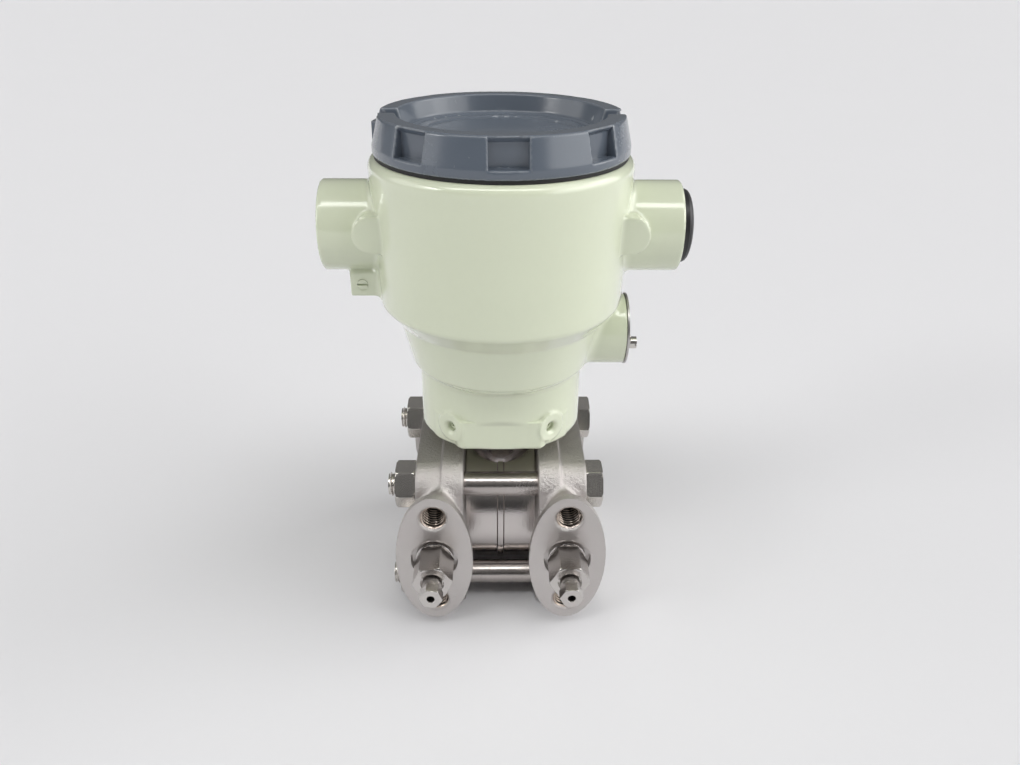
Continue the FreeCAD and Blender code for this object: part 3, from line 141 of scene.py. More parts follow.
def hexagon(u, v, flats, turn=0.0, edge=0.12):
    """Distance to a hexagon by its width across flats, corners eased."""
    sides = []
    for k in range(3):
        a = math.radians(turn + 60 * k + 30)
        sides.append(np.abs(u * math.cos(a) + v * math.sin(a)) - flats / 2)
    return soft_common(soft_common(sides[0], sides[1], edge), sides[2], edge)


def rounded_corners(corners):
    """A closed outline whose corners, given as (x, z, radius), are turned into arcs."""
    out = []
    count = len(corners)
    for i, (x, z, radius) in enumerate(corners):
        if not radius:
            out.append((x, z))
            continue
        here = np.array((x, z))
        before = np.array(corners[i - 1][:2]) - here
        after = np.array(corners[(i + 1) % count][:2]) - here
        before, after = before / np.linalg.norm(before), after / np.linalg.norm(after)
        half = math.acos(np.clip(before @ after, -1, 1)) / 2
        reach = radius / math.tan(half)
        middle = (before + after) / np.linalg.norm(before + after)
        centre = here + middle * radius / math.sin(half)
        first, last = here + before * reach - centre, here + after * reach - centre
        turned = math.atan2(first[0] * last[1] - first[1] * last[0], first @ last)
        start = math.atan2(first[1], first[0])
        for k in range(9):
            a = start + turned * k / 8
            out.append((centre[0] + radius * math.cos(a), centre[1] + radius * math.sin(a)))
    return out


def turned_profile(corners):
    """Field of a body turned about the vertical axis, looked up in a table of its outline."""
    outline = rounded_corners(corners)
    us, vs = [c[0] for c in outline], [c[1] for c in outline]
    step, margin = 0.25, 6.0
    u_line = np.arange(-margin, max(us) + margin, step)
    v_line = np.arange(min(vs) - margin, max(vs) + margin, step)
    u, v = np.meshgrid(u_line, v_line, indexing="ij")
    near = np.full(u.shape, 1e9)
    inside = np.zeros(u.shape, bool)
    for (ax, az), (bx, bz) in zip(outline, outline[1:] + outline[:1]):
        ex, ez = bx - ax, bz - az
        if ex * ex + ez * ez < 1e-12:
            continue
        t = np.clip(((u - ax) * ex + (v - az) * ez) / (ex * ex + ez * ez), 0, 1)
        near = np.minimum(near, (u - ax - t * ex) ** 2 + (v - az - t * ez) ** 2)
        if abs(ez) > 1e-12:
            inside ^= ((az > v) != (bz > v)) & (u < ex * (v - az) / ez + ax)
    table = np.where(inside, -1, 1) * np.sqrt(near)

    def field(p):
        r = np.hypot(p[0], p[1] - AXIS_Y)
        i = np.clip((r - u_line[0]) / step, 0, len(u_line) - 1.001)
        j = np.clip((p[2] - v_line[0]) / step, 0, len(v_line) - 1.001)
        i0, j0 = i.astype(int), j.astype(int)
        fi, fj = i - i0, j - j0
        return ((table[i0, j0] * (1 - fi) + table[i0 + 1, j0] * fi) * (1 - fj)
                + (table[i0, j0 + 1] * (1 - fi) + table[i0 + 1, j0 + 1] * fi) * fj)
    return field


def sampled(field, lines):
    """The field's values on a grid, taken a level at a time."""
    shape = tuple(len(line) for line in lines)
    values = np.empty(shape, np.float32)
    for k in range(shape[2]):
        x, y = np.meshgrid(lines[0], lines[1], indexing="ij")
        values[:, :, k] = field((x, y, np.full_like(x, lines[2][k])))
    return values


def slope(field, p, reach=0.02):
    """Unit normals of a field at some points."""
    rise = []
    for i in range(3):
        shift = np.zeros(3)
        shift[i] = reach
        rise.append(field(tuple((p + shift).T)) - field(tuple((p - shift).T)))
    n = np.array(rise).T
    n /= np.maximum(np.linalg.norm(n, axis=1, keepdims=True), 1e-9)
    return n


def crossings(field, values, low, step, axis):
    """Where the surface crosses the grid lines along one axis: the points, their normals, and
    the ring of four cells round each line."""
    inside = values < 0
    ahead = [slice(None)] * 3
    behind = [slice(None)] * 3
    ahead[axis], behind[axis] = slice(1, None), slice(None, -1)
    spots = np.argwhere(inside[tuple(ahead)] != inside[tuple(behind)])
    far = spots.copy()
    far[:, axis] += 1
    a, b = values[tuple(spots.T)], values[tuple(far.T)]
    p = low + spots * step
    p[:, axis] += step * a / (a - b)
    u, v = [i for i in range(3) if i != axis]
    ring = []
    for du, dv in ((0, 0), (-1, 0), (-1, -1), (0, -1)):
        cell = spots.copy()
        cell[:, u] += du
        cell[:, v] += dv
        ring.append(np.ravel_multi_index(tuple(cell.T), values.shape))
    ring = np.array(ring).T
    flip = (a < 0) == (axis == 1)
    ring[flip] = ring[flip][:, ::-1]
    return p, slope(field, p), ring


def settled(points, normals, where, count, step):
    """One vertex for each cell, moved from the mean of its points to where their tangent
    planes meet, so that edges stay crisp."""
    share = np.bincount(where).astype(float)
    mean = np.array([np.bincount(where, points[:, i]) for i in range(3)]).T / share[:, None]
    offset = points - mean[where]
    pull = (normals * offset).sum(1)
    matrix = np.empty((count, 3, 3))
    right = np.empty((count, 3))
    for i in range(3):
        right[:, i] = np.bincount(where, normals[:, i] * pull)
        for j in range(3):
            matrix[:, i, j] = np.bincount(where, normals[:, i] * normals[:, j])
    size, way = np.linalg.eigh(matrix)
    keep = size > 0.08 * size[:, 2:3]
    part = np.einsum("nji,nj->ni", way, right) * np.where(keep, 1 / np.where(keep, size, 1), 0)
    move = np.einsum("nij,nj->ni", way, part)
    length = np.linalg.norm(move, axis=1, keepdims=True)
    move *= np.minimum(1, 0.9 * step / np.maximum(length, 1e-9))
    return mean + move


def skin(name, field, low, high, step):
    """Mesh of the zero surface of a field, with a vertex in each cell that it crosses."""
    low = np.array(low, float) - 1.37 * step
    lines = [np.arange(low[i], high[i] + 2.5 * step, step) for i in range(3)]
    values = sampled(field, lines)
    points, normals, cells, quads = [], [], [], []
    for axis in range(3):
        p, n, ring = crossings(field, values, low, step, axis)
        quads.append(ring)
        points += [p] * 4
        normals += [n] * 4
        cells += [ring[:, corner] for corner in range(4)]
    quads = np.concatenate(quads)
    cells, points, normals = (np.concatenate(part) for part in (cells, points, normals))
    used, where = np.unique(cells, return_inverse=True)
    vertices = settled(points, normals, where, len(used), step)
    mesh = bpy.data.meshes.new(name)
    mesh.from_pydata((vertices * MM).tolist(), [], np.searchsorted(used, quads).tolist())
    mesh.update()
    return mesh


def lighten(mesh, share):
    """The same skin with fewer faces where it is flat."""
    piece = bpy.data.objects.new("skin", mesh)
    bpy.context.scene.collection.objects.link(piece)
    fewer = piece.modifiers.new("fewer faces", "DECIMATE")
    fewer.ratio = share
    graph = bpy.context.evaluated_depsgraph_get()
    result = bpy.data.meshes.new_from_object(piece.evaluated_get(graph))
    result.name = mesh.name
    bpy.data.objects.remove(piece)
    return result


def add(name, mesh, smooth_angle=42.0):
    """A new piece in the scene, smooth except over edges sharper than the angle."""
    piece = bpy.data.objects.new(name, mesh)
    bpy.context.scene.collection.objects.link(piece)
    mesh.polygons.foreach_set("use_smooth", [True] * len(mesh.polygons))
    mesh.set_sharp_from_angle(angle=math.radians(smooth_angle))
    return piece


def dress(piece, material, body, slot, *nodes):
    """Gives a piece its finish and its body, and hides the solids that it stands for."""
    piece.data.materials.clear()
    piece.data.materials.append(material)
    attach(piece, body)
    if nodes:
        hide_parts(*nodes)
    return piece


# -------------------- turned and threaded parts

def turned_mesh(name, rows, around=96, closed=True):
    """Rings of (along, radius) about +X, with flat ends when closed."""
    verts, faces = [], []
    for along, radius in rows:
        for k in range(around):
            a = 2 * math.pi * k / around
            verts.append((along, radius * math.cos(a), radius * math.sin(a)))
    last = len(rows) - 1
    for r in range(last):
        for k in range(around):
            n = (k + 1) % around
            faces.append((r * around + k, r * around + n, (r + 1) * around + n,
                          (r + 1) * around + k))
    if closed:
        faces.append(tuple(range(around))[::-1])
        faces.append(tuple(last * around + k for k in range(around)))
    return make_mesh(name, verts, faces)


def make_mesh(name, verts, faces):
    """A mesh from points in millimetres."""
    mesh = bpy.data.meshes.new(name)
    mesh.from_pydata([tuple(c * MM for c in v) for v in verts], [], faces)
    mesh.update()
    return mesh


def thread_mesh(name, root, crest, back, pitch, length, runout=0.6, around=72):
    """A threaded tube along +X from 0 to length: a helical ridge from root to crest,
    closed by a plain wall at the back radius."""
    steps = max(4, int(length / pitch * 8))
    verts, faces = [], []
    for i in range(steps + 1):
        along = length * i / steps
        fade = min(1.0, along / runout, (length - along) / runout)
        for k in range(around):
            a = 2 * math.pi * k / around
            phase = (along / pitch - k / around) % 1.0
            ridge = min(1.0, max(0.0, (0.5 - abs(phase - 0.5)) * 2.9 - 0.45)) * fade
            radius = root + (crest - root) * ridge
            verts.append((along, radius * math.cos(a), radius * math.sin(a)))
    rings = steps + 1
    for along in (length, 0.0):
        for k in range(around):
            a = 2 * math.pi * k / around
            verts.append((along, back * math.cos(a), back * math.sin(a)))
    outward = crest > back
    for i in range(rings + 2):
        j = (i + 1) % (rings + 2)
        for k in range(around):
            n = (k + 1) % around
            quad = (i * around + k, i * around + n, j * around + n, j * around + k)
            faces.append(quad if outward else quad[::-1])
    return make_mesh(name, verts, faces)


def aim(point, direction, spin=0.0):
    """Placement of a piece drawn along +X: its origin at point, its axis along direction."""
    turn = Vector((1, 0, 0)).rotation_difference(Vector(direction)).to_matrix().to_4x4()
    return (Matrix.Translation(Vector(point) * MM) @ turn
            @ Matrix.Rotation(math.radians(spin), 4, "X"))


def place(mesh, matrix):
    """Moves a mesh's own points, so that its object stays at the origin."""
    mesh.transform(matrix)
    mesh.update()
    return mesh


def joined(name, meshes):
    """One mesh made of several."""
    verts, faces = [], []
    for mesh in meshes:
        start = len(verts)
        verts += [tuple(v.co) for v in mesh.vertices]
        faces += [tuple(start + i for i in f.vertices) for f in mesh.polygons]
        bpy.data.meshes.remove(mesh)
    out = bpy.data.meshes.new(name)
    out.from_pydata(verts, [], faces)
    out.update()
    return out


# -------------------- finishes

def node_group(name, inputs, outputs):
    """A shader group with inputs by name and default, numbers as outputs, and its end nodes."""
    group = bpy.data.node_groups.new(name, "ShaderNodeTree")
    for label, default in inputs:
        kind = "NodeSocketVector" if isinstance(default, tuple) else "NodeSocketFloat"
        socket = group.interface.new_socket(name=label, in_out="INPUT", socket_type=kind)
        socket.default_value = default
    for label in outputs:
        group.interface.new_socket(name=label, in_out="OUTPUT", socket_type="NodeSocketFloat")
    return group, group.nodes.new("NodeGroupInput"), group.nodes.new("NodeGroupOutput")


def math_node(tree, operation, a, b=None, c=None):
    """One step of arithmetic on numbers or sockets."""
    node = tree.nodes.new("ShaderNodeMath")
    node.operation = operation
    for socket, given in zip(node.inputs, (a, b, c)):
        if given is None:
            continue
        if isinstance(given, (int, float)):
            socket.default_value = given
        else:
            tree.links.new(given, socket)
    return node.outputs[0]


def noise(tree, vector, scale, detail=3.0, rough=0.55):
    """Noise from nought to one over the given coordinates."""
    node = tree.nodes.new("ShaderNodeTexNoise")
    tree.links.new(vector, node.inputs["Vector"])
    for label, given in (("Scale", scale), ("Detail", detail), ("Roughness", rough)):
        if isinstance(given, (int, float)):
            node.inputs[label].default_value = given
        else:
            tree.links.new(given, node.inputs[label])
    return node.outputs["Fac"]


def make_mottle_group():
    """Slow and fine variation: a shade near one, a roughness change and a fine height."""
    group, given, out = node_group("mottle", [
        ("Broad scale", 30.0), ("Fine scale", 700.0), ("Shade amount", 0.1),
        ("Fine amount", 0.05)], ["Shade", "Change", "Height"])
    where = group.nodes.new("ShaderNodeTexCoord").outputs["Object"]
    broad = noise(group, where, given.outputs["Broad scale"], 4.0)
    fine = noise(group, where, given.outputs["Fine scale"], 2.0)
    swing = math_node(group, "MULTIPLY", math_node(group, "SUBTRACT", broad, 0.5),
                      given.outputs["Shade amount"])
    speck = math_node(group, "MULTIPLY", math_node(group, "SUBTRACT", fine, 0.5),
                      given.outputs["Fine amount"])
    group.links.new(math_node(group, "ADD", math_node(group, "ADD", swing, speck), 1.0),
                    out.inputs["Shade"])
    group.links.new(math_node(group, "ADD", swing, speck), out.inputs["Change"])
    group.links.new(fine, out.inputs["Height"])
    return group


def make_lines_group():
    """Tool marks: fine straight lines across one direction, broken up along their length."""
    group, given, out = node_group("tool marks", [
        ("Stretch", (1.0, 1.0, 1.0)), ("Scale", 900.0)], ["Height", "Mask"])
    where = group.nodes.new("ShaderNodeTexCoord").outputs["Object"]
    stretch = group.nodes.new("ShaderNodeVectorMath")
    stretch.operation = "MULTIPLY"
    group.links.new(where, stretch.inputs[0])
    group.links.new(given.outputs["Stretch"], stretch.inputs[1])
    lines = noise(group, stretch.outputs[0], given.outputs["Scale"], 3.0, 0.7)
    patches = noise(group, where, 60.0, 2.0)
    mask = math_node(group, "MULTIPLY", lines, patches)
    group.links.new(lines, out.inputs["Height"])
    group.links.new(mask, out.inputs["Mask"])
    return group


def make_cast_group():
    """Grain left by the mould, on every face that doesn't look along the ports."""
    group, given, out = node_group("cast grain", [("Scale", 900.0)], ["Height", "Mask"])
    coordinates = group.nodes.new("ShaderNodeTexCoord")
    parts = group.nodes.new("ShaderNodeSeparateXYZ")
    group.links.new(coordinates.outputs["Normal"], parts.inputs[0])
    level = math_node(group, "ABSOLUTE", parts.outputs[1])
    machined = math_node(group, "GREATER_THAN", level, 0.97)
    mask = math_node(group, "SUBTRACT", 1.0, machined)
    grain = noise(group, coordinates.outputs["Object"], given.outputs["Scale"], 4.0, 0.65)
    group.links.new(math_node(group, "MULTIPLY", grain, mask), out.inputs["Height"])
    group.links.new(mask, out.inputs["Mask"])
    return group


def make_rubbed_and_highlit_edge_group():
    """Where the surface is convex, broken by noise: one on the edges, whose colour stands for
    rubbed paint and, on the cover, partly for painted highlight.
    """
    group, given, out = node_group("rubbed edges and painted highlight", [("Amount", 0.5)], ["Mask"])
    pointy = group.nodes.new("ShaderNodeNewGeometry").outputs["Pointiness"]
    where = group.nodes.new("ShaderNodeTexCoord").outputs["Object"]
    edge = group.nodes.new("ShaderNodeMapRange")
    edge.inputs["From Min"].default_value = 0.52
    edge.inputs["From Max"].default_value = 0.60
    group.links.new(pointy, edge.inputs["Value"])
    broken = math_node(group, "MULTIPLY", noise(group, where, 260.0, 4.0, 0.7), 1.4)
    mask = math_node(group, "MULTIPLY", edge.outputs["Result"], broken)
    mask = math_node(group, "MULTIPLY", mask, given.outputs["Amount"])
    group.links.new(mask, out.inputs["Mask"])
    return group


MOTTLE = make_mottle_group()
LINES = make_lines_group()
CAST = make_cast_group()
RUBBED_AND_HIGHLIT_EDGES = make_rubbed_and_highlit_edge_group()


def use_group(tree, group, **values):
    """A group placed in a material, with some of its inputs set."""
    node = tree.nodes.new("ShaderNodeGroup")
    node.node_tree = group
    for label, given in values.items():
        node.inputs[label.replace("_", " ")].default_value = given
    return node


def new_material(name, metallic=0.0, coat=0.0, coat_roughness=0.05, specular=0.5):
    """A material with its node tree and its shader."""
    material = bpy.data.materials.new(name)
    material.use_nodes = True
    tree = material.node_tree
    shader = tree.nodes["Principled BSDF"]
    shader.inputs["Metallic"].default_value = metallic
    shader.inputs["Coat Weight"].default_value = coat
    shader.inputs["Coat Roughness"].default_value = coat_roughness
    shader.inputs["Specular IOR Level"].default_value = specular
    return material, tree, shader


def tint(tree, shader, colour, shade, second_colour=None, mask=None):
    """Base colour times a shade, turning to the second colour where the mask is one."""
    plain = tree.nodes.new("ShaderNodeMix")
    plain.data_type = "RGBA"
    plain.blend_type = "MULTIPLY"
    plain.inputs["Factor"].default_value = 1.0
    plain.inputs["A"].default_value = (*colour, 1.0)
    tree.links.new(shade, plain.inputs["B"])
    result = plain.outputs["Result"]
    if mask is not None:
        mix = tree.nodes.new("ShaderNodeMix")
        mix.data_type = "RGBA"
        tree.links.new(mask, mix.inputs["Factor"])
        tree.links.new(result, mix.inputs["A"])
        mix.inputs["B"].default_value = (*second_colour, 1.0)
        result = mix.outputs["Result"]
    tree.links.new(result, shader.inputs["Base Color"])


def rough(tree, shader, level, change, swing=1.0):
    """Roughness about a level, which follows the change."""
    value = math_node(tree, "ADD", math_node(tree, "MULTIPLY", change, swing), level)
    tree.links.new(value, shader.inputs["Roughness"])


def bump(tree, shader, height, distance, strength=1.0):
    """Fine relief from a height, over a distance in metres."""
    node = tree.nodes.new("ShaderNodeBump")
    node.inputs["Strength"].default_value = strength
    node.inputs["Distance"].default_value = distance
    tree.links.new(height, node.inputs["Height"])
    tree.links.new(node.outputs["Normal"], shader.inputs["Normal"])


def painted(name, colour, roughness, coat, broad, fine, shade, peel, second_colour, edge_marks):
    """Gloss paint on cast metal, with its faint orange peel, and a second colour on its convex
    edges: rubbed paint, and on the lighter cover edges partly painted highlight.
    """
    material, tree, shader = new_material(name, coat=coat, coat_roughness=0.08)
    mottle = use_group(tree, MOTTLE, Broad_scale=broad, Fine_scale=fine, Shade_amount=shade,
                       Fine_amount=0.02)
    edge_marks = use_group(tree, RUBBED_AND_HIGHLIT_EDGES, Amount=edge_marks)
    tint(tree, shader, colour, mottle.outputs["Shade"], second_colour, edge_marks.outputs["Mask"])
    rough(tree, shader, roughness, mottle.outputs["Change"], 0.8)
    bump(tree, shader, mottle.outputs["Height"], peel)
    return material


# what steel turns to where the tool marks are dense
BLUSH = (0.55, 0.51, 0.505)


def steel(name, colour, roughness, stretch, scale, depth, shade=0.25, grain=0.2, cast=0.0):
    """Bare stainless steel with tool marks along one direction, and a cast grain where it
    isn't machined."""
    material, tree, shader = new_material(name, metallic=1.0)
    mottle = use_group(tree, MOTTLE, Broad_scale=45.0, Fine_scale=1500.0, Shade_amount=shade,
                       Fine_amount=0.1)
    lines = use_group(tree, LINES, Stretch=stretch, Scale=scale)
    blush = math_node(tree, "MULTIPLY", lines.outputs["Mask"], 1.6)
    tint(tree, shader, colour, mottle.outputs["Shade"], BLUSH, blush)
    level = roughness
    height = math_node(tree, "ADD", math_node(tree, "MULTIPLY", lines.outputs["Height"], depth),
                       math_node(tree, "MULTIPLY", mottle.outputs["Height"], grain))
    if cast:
        skin_marks = use_group(tree, CAST)
        rough_part = math_node(tree, "MULTIPLY", skin_marks.outputs["Height"], cast)
        height = math_node(tree, "ADD", height, rough_part)
        level = math_node(tree, "MULTIPLY_ADD", skin_marks.outputs["Mask"], 0.1, roughness)
    rough(tree, shader, level, mottle.outputs["Change"], 0.6)
    bump(tree, shader, height, 0.0002)
    return material


def plain(name, colour, roughness, fine=900.0, depth=0.00003, metallic=0.0, shade=0.15):
    """Rubber, moulded plastic or brass with a fine grain."""
    material, tree, shader = new_material(name, metallic=metallic)
    mottle = use_group(tree, MOTTLE, Broad_scale=60.0, Fine_scale=fine, Shade_amount=shade,
                       Fine_amount=0.15)
    tint(tree, shader, colour, mottle.outputs["Shade"])
    rough(tree, shader, roughness, mottle.outputs["Change"], 0.5)
    bump(tree, shader, mottle.outputs["Height"], depth)
    return material


housing_paint = painted("housing cream paint", (0.715, 0.765, 0.585), 0.20, 1.0, 22.0, 420.0,
                        0.04, 0.00002, (0.60, 0.60, 0.50), 0.15)
# the cover's pale edge colour is partly rubbed paint and partly painted highlight on its convex
# edges
cover_paint = painted("cover blue grey paint", (0.115, 0.137, 0.17), 0.26, 0.5, 40.0, 600.0,
                      0.12, 0.00003, (0.40, 0.42, 0.44), 0.9)
flange_steel = steel("machined flange steel", (0.54, 0.52, 0.50), 0.32, (0.12, 1.0, 0.12),
                     1300.0, 0.7, 0.35, cast=2.6)
capsule_steel = steel("polished capsule steel", (0.58, 0.545, 0.525), 0.18, (1.0, 0.08, 0.08),
                      1600.0, 0.22, 0.2)
bolt_steel = steel("bright bolt steel", (0.74, 0.72, 0.665), 0.24, (1.0, 0.1, 0.1), 1400.0,
                   0.15, 0.2)
# painted shade: a darker copy of the bolt steel for the shanks, standing in for the dimmer
# reflection along them
shaded_shank_steel = steel("bolt steel painted darker for the shanks", (0.42, 0.385, 0.36), 0.24, (1.0, 0.1, 0.1), 1400.0,
                    0.15, 0.3)
valve_steel = steel("turned valve steel", (0.60, 0.58, 0.55), 0.24, (0.1, 1.0, 0.1), 1500.0,
                    0.25, 0.2)
thread_steel = steel("thread steel", (0.50, 0.39, 0.29), 0.28, (0.1, 1.0, 0.1), 1200.0, 0.15)
# painted shade: a near-black finish for the tube behind the hole threads, where shade falls
# between the ridges
painted_shade_thread_root = plain("painted shade in thread roots", (0.020, 0.014, 0.010), 0.5)
plate_steel = steel("thin plate steel", (0.50, 0.50, 0.49), 0.35, (1.0, 0.1, 1.0), 1200.0, 0.3)
black_rubber = plain("black rubber", (0.012, 0.012, 0.012), 0.6)
cap_plastic = plain("black cap plastic", (0.018, 0.018, 0.02), 0.38)
seal_white = plain("white seal", (0.75, 0.75, 0.73), 0.45)
module_plastic = plain("potted module", (0.05, 0.055, 0.06), 0.5)
terminal_plastic = plain("terminal moulding", (0.16, 0.16, 0.17), 0.45)
terminal_brass = plain("nickelled brass", (0.66, 0.58, 0.40), 0.28, metallic=1.0)

# -------------------- housing casting

DRUM_TOP = housing_high[2]
SKIRT_FOOT = housing_low[2]
SKIRT_HALF_X, SKIRT_HALF_Y = 33.4, 29.3
FLAT_Y = 28.1
FLAT_HALF = 15.8
COLLAR_TOP = 52.9
SCREW_ANGLE = math.radians(40.0)
BOSS_Z, CRATER_Z = 48.9, 48.6
CONDUIT_Z = 125.3
CONDUIT_RADIUS = 17.3
CONDUIT_END = housing_high[0]
ENTRY_RADIUS = 9.3
LUG_Z, LUG_RADIUS = 127.8, 7.0
SIDE_Z, SIDE_RADIUS = 81.8, 14.3
ADJUSTER_Z = 75.2
SIDE_END = node_box("adjuster_plate")[0][0]

drum_profile = turned_profile([
    (0.0, 64.6, 0), (28.4, 65.0, 0), (36.4, 71.5, 2.2), (40.9, 89.4, 4.0),
    (47.9, 97.4, 3.4), (48.6, 112.0, 40.0), (49.5, DRUM_TOP - 5, 0), (49.5, DRUM_TOP, 3.6),
    (0.0, DRUM_TOP, 0)])
chamber_profile = turned_profile([
    (0.0, DRUM_TOP + 4, 0), (41.5, DRUM_TOP + 4, 0), (41.5, 104.0, 0.8), (26.0, 104.0, 0.6),
    (21.0, 73.0, 2.0), (7.0, 73.0, 0.5), (7.0, 66.0, 0), (12.9, 66.0, 0),
    (12.9, SKIRT_FOOT + 0.7, 0), (13.6, SKIRT_FOOT, 0), (13.6, SKIRT_FOOT - 4, 0),
    (0.0, SKIRT_FOOT - 4, 0)])


def set_screw_line(x, y, z, side, height):
    """Distance along a set screw's axis from the neck, and distance away from that axis."""
    along = side * x * math.sin(SCREW_ANGLE) - y * math.cos(SCREW_ANGLE)
    beside = side * x * math.cos(SCREW_ANGLE) + y * math.sin(SCREW_ANGLE)
    return along, np.hypot(beside, z - height)


def skirt_field(x, y, z, body):
    """The drum with the oval skirt, its faceted collar and the two set screw bosses."""
    skirt = oval(x, y, SKIRT_HALF_X, SKIRT_HALF_Y)
    skirt = soft_common(soft_common(skirt, SKIRT_FOOT - z, 2.2), z - 72.0, 1.0)
    collar = -y - FLAT_Y
    reach = FLAT_HALF * math.sin(SCREW_ANGLE) + FLAT_Y * math.cos(SCREW_ANGLE)
    for side in (-1, 1):
        facet = side * x * math.sin(SCREW_ANGLE) - y * math.cos(SCREW_ANGLE) - reach
        collar = soft_common(collar, facet, 0.2)
    fading = oval(x, y, SKIRT_HALF_X + 0.2, SKIRT_HALF_Y + 0.2)
    fading = fading - np.maximum(18.6 - np.abs(x), 0) * 1.2
    collar = soft_common(collar, fading, 0.5)
    collar = soft_common(collar, np.abs(x) - 27.8, 1.5)
    collar = soft_common(collar, y, 0.5)
    collar = soft_common(collar, SKIRT_FOOT - z, 1.0)
    collar = soft_common(collar, z - COLLAR_TOP, 0.35)
    body = soft_union(body, skirt, 1.6)
    above_collar = np.maximum(z - COLLAR_TOP + 1.3, 0)
    flat = np.maximum(y + FLAT_Y + above_collar * 0.5, np.abs(x) - FLAT_HALF + 0.2)
    body = soft_cut(body, np.maximum(flat, z - 55.5), 0.5)
    body = soft_union(body, collar, 0.3)
    for side in (-1, 1):
        along, across = set_screw_line(x, y, z, side, BOSS_Z)
        boss = soft_common(np.maximum(across - 6.4, 20.0 - along), along - 32.0, 0.7)
        body = soft_union(body, boss, 1.0)
    return body


def housing_field(p):
    """The housing casting: drum, skirt, conduit bosses, lugs, blocks, and what is cut."""
    x, y, z = p[0], p[1] - AXIS_Y, p[2]
    q = (x, y, z)
    body = skirt_field(x, y, z, drum_profile(p))
    conduit = (0, 0, CONDUIT_Z)
    body = soft_union(body, rod(q, 0, conduit, CONDUIT_RADIUS, -CONDUIT_END, CONDUIT_END, 1.0),
                      2.4)
    lug = np.hypot(np.maximum(np.abs(x) - 47.2, 0), z - LUG_Z) - LUG_RADIUS
    lug = soft_common(soft_common(lug, -y - 22.5, 0.7), y + 4.0, 1.0)
    body = soft_union(body, np.maximum(lug, 30.0 - np.abs(x)), 0.9)
    earth_block = block(q, (-58, -12, 100.4), (-40, 2, 110.4), 1.0)
    body = soft_union(body, earth_block, 2.5)
    side_boss = rod(q, 0, (0, 0, SIDE_Z), SIDE_RADIUS, 20.0, SIDE_END, 0.8)
    body = soft_union(body, side_boss, 3.0)
    body = soft_cut(body, chamber_profile(p), 0.5)
    for side in (-1, 1):
        outward = (side * x, y, z)
        entry = rod(outward, 0, conduit, ENTRY_RADIUS, CONDUIT_END - 17, 90, 0.3)
        mouth = np.hypot(y, z - CONDUIT_Z) - ENTRY_RADIUS - (side * x - CONDUIT_END + 1.0)
        entry = np.minimum(entry, np.maximum(mouth, CONDUIT_END - 2 - side * x))
        way = rod(outward, 0, conduit, 7.5, 39, CONDUIT_END - 10, 0.3)
        body = soft_cut(body, np.minimum(entry, way), 0.4)
        along, across = set_screw_line(x, y, z, side, CRATER_Z)
        crater = across - 1.9 - np.maximum(along - 30.9, 0) * 1.1
        body = soft_cut(body, np.maximum(crater, 11.0 - along), 0.6)
        plate_screw = rod((x, side * y, z), 0, (0, 10.6, SIDE_Z), 1.25, 44, 60, 0.1)
        body = soft_cut(body, plate_screw, 0.1)
    earth_screw = rod(q, 1, (-53.2, 0, 105.3), 2.05, -30, -5, 0.1)
    body = soft_cut(body, earth_screw, 0.5)
    adjuster = rod(q, 0, (0, 0, ADJUSTER_Z), 1.7, 40.2, 60, 0.1)
    body = soft_cut(body, adjuster, 0.1)
    for angle in (90, 210, 330):
        a = math.radians(angle)
        module_screw = rod(q, 2, (31 * math.cos(a), 31 * math.sin(a), 0), 1.55, 96, 110, 0.1)
        body = soft_cut(body, module_screw, 0.1)
    return body


housing_skin = skin("housing_casting", housing_field, housing_low, housing_high, 0.74 * FINE)
housing = add("housing_casting", lighten(housing_skin, 0.58))
dress(housing, housing_paint, "housing", "housing_paint", "housing")

# -------------------- cover

COVER_FOOT = gasket_high[2]
COVER_TOP = cover_high[2]
NOTCHES = 8
FIRST_NOTCH = 2.5
TAB_ANGLE = 102.0
cover_profile = turned_profile([
    (0.0, COVER_TOP - 7.3, 0), (28.3, COVER_TOP - 7.3, 0.2), (28.6, COVER_TOP - 6.8, 0.3),
    (33.4, COVER_TOP - 6.8, 0.2), (33.9, COVER_TOP - 6.2, 0.3), (34.8, COVER_TOP - 6.2, 0.3),
    (35.3, COVER_TOP - 6.8, 0.3), (36.5, COVER_TOP - 6.8, 1.2), (38.5, COVER_TOP, 0.8),
    (45.0, COVER_TOP, 1.0), (47.5, COVER_FOOT + 3.2, 2.0), (47.5, COVER_FOOT, 0.6),
    (41.0, COVER_FOOT, 0.3), (41.0, cover_low[2], 0.8), (37.6, cover_low[2], 0.6),
    (37.6, COVER_TOP - 12, 1.0), (36.6, COVER_TOP - 10.7, 0), (0.0, COVER_TOP - 10.7, 0)])


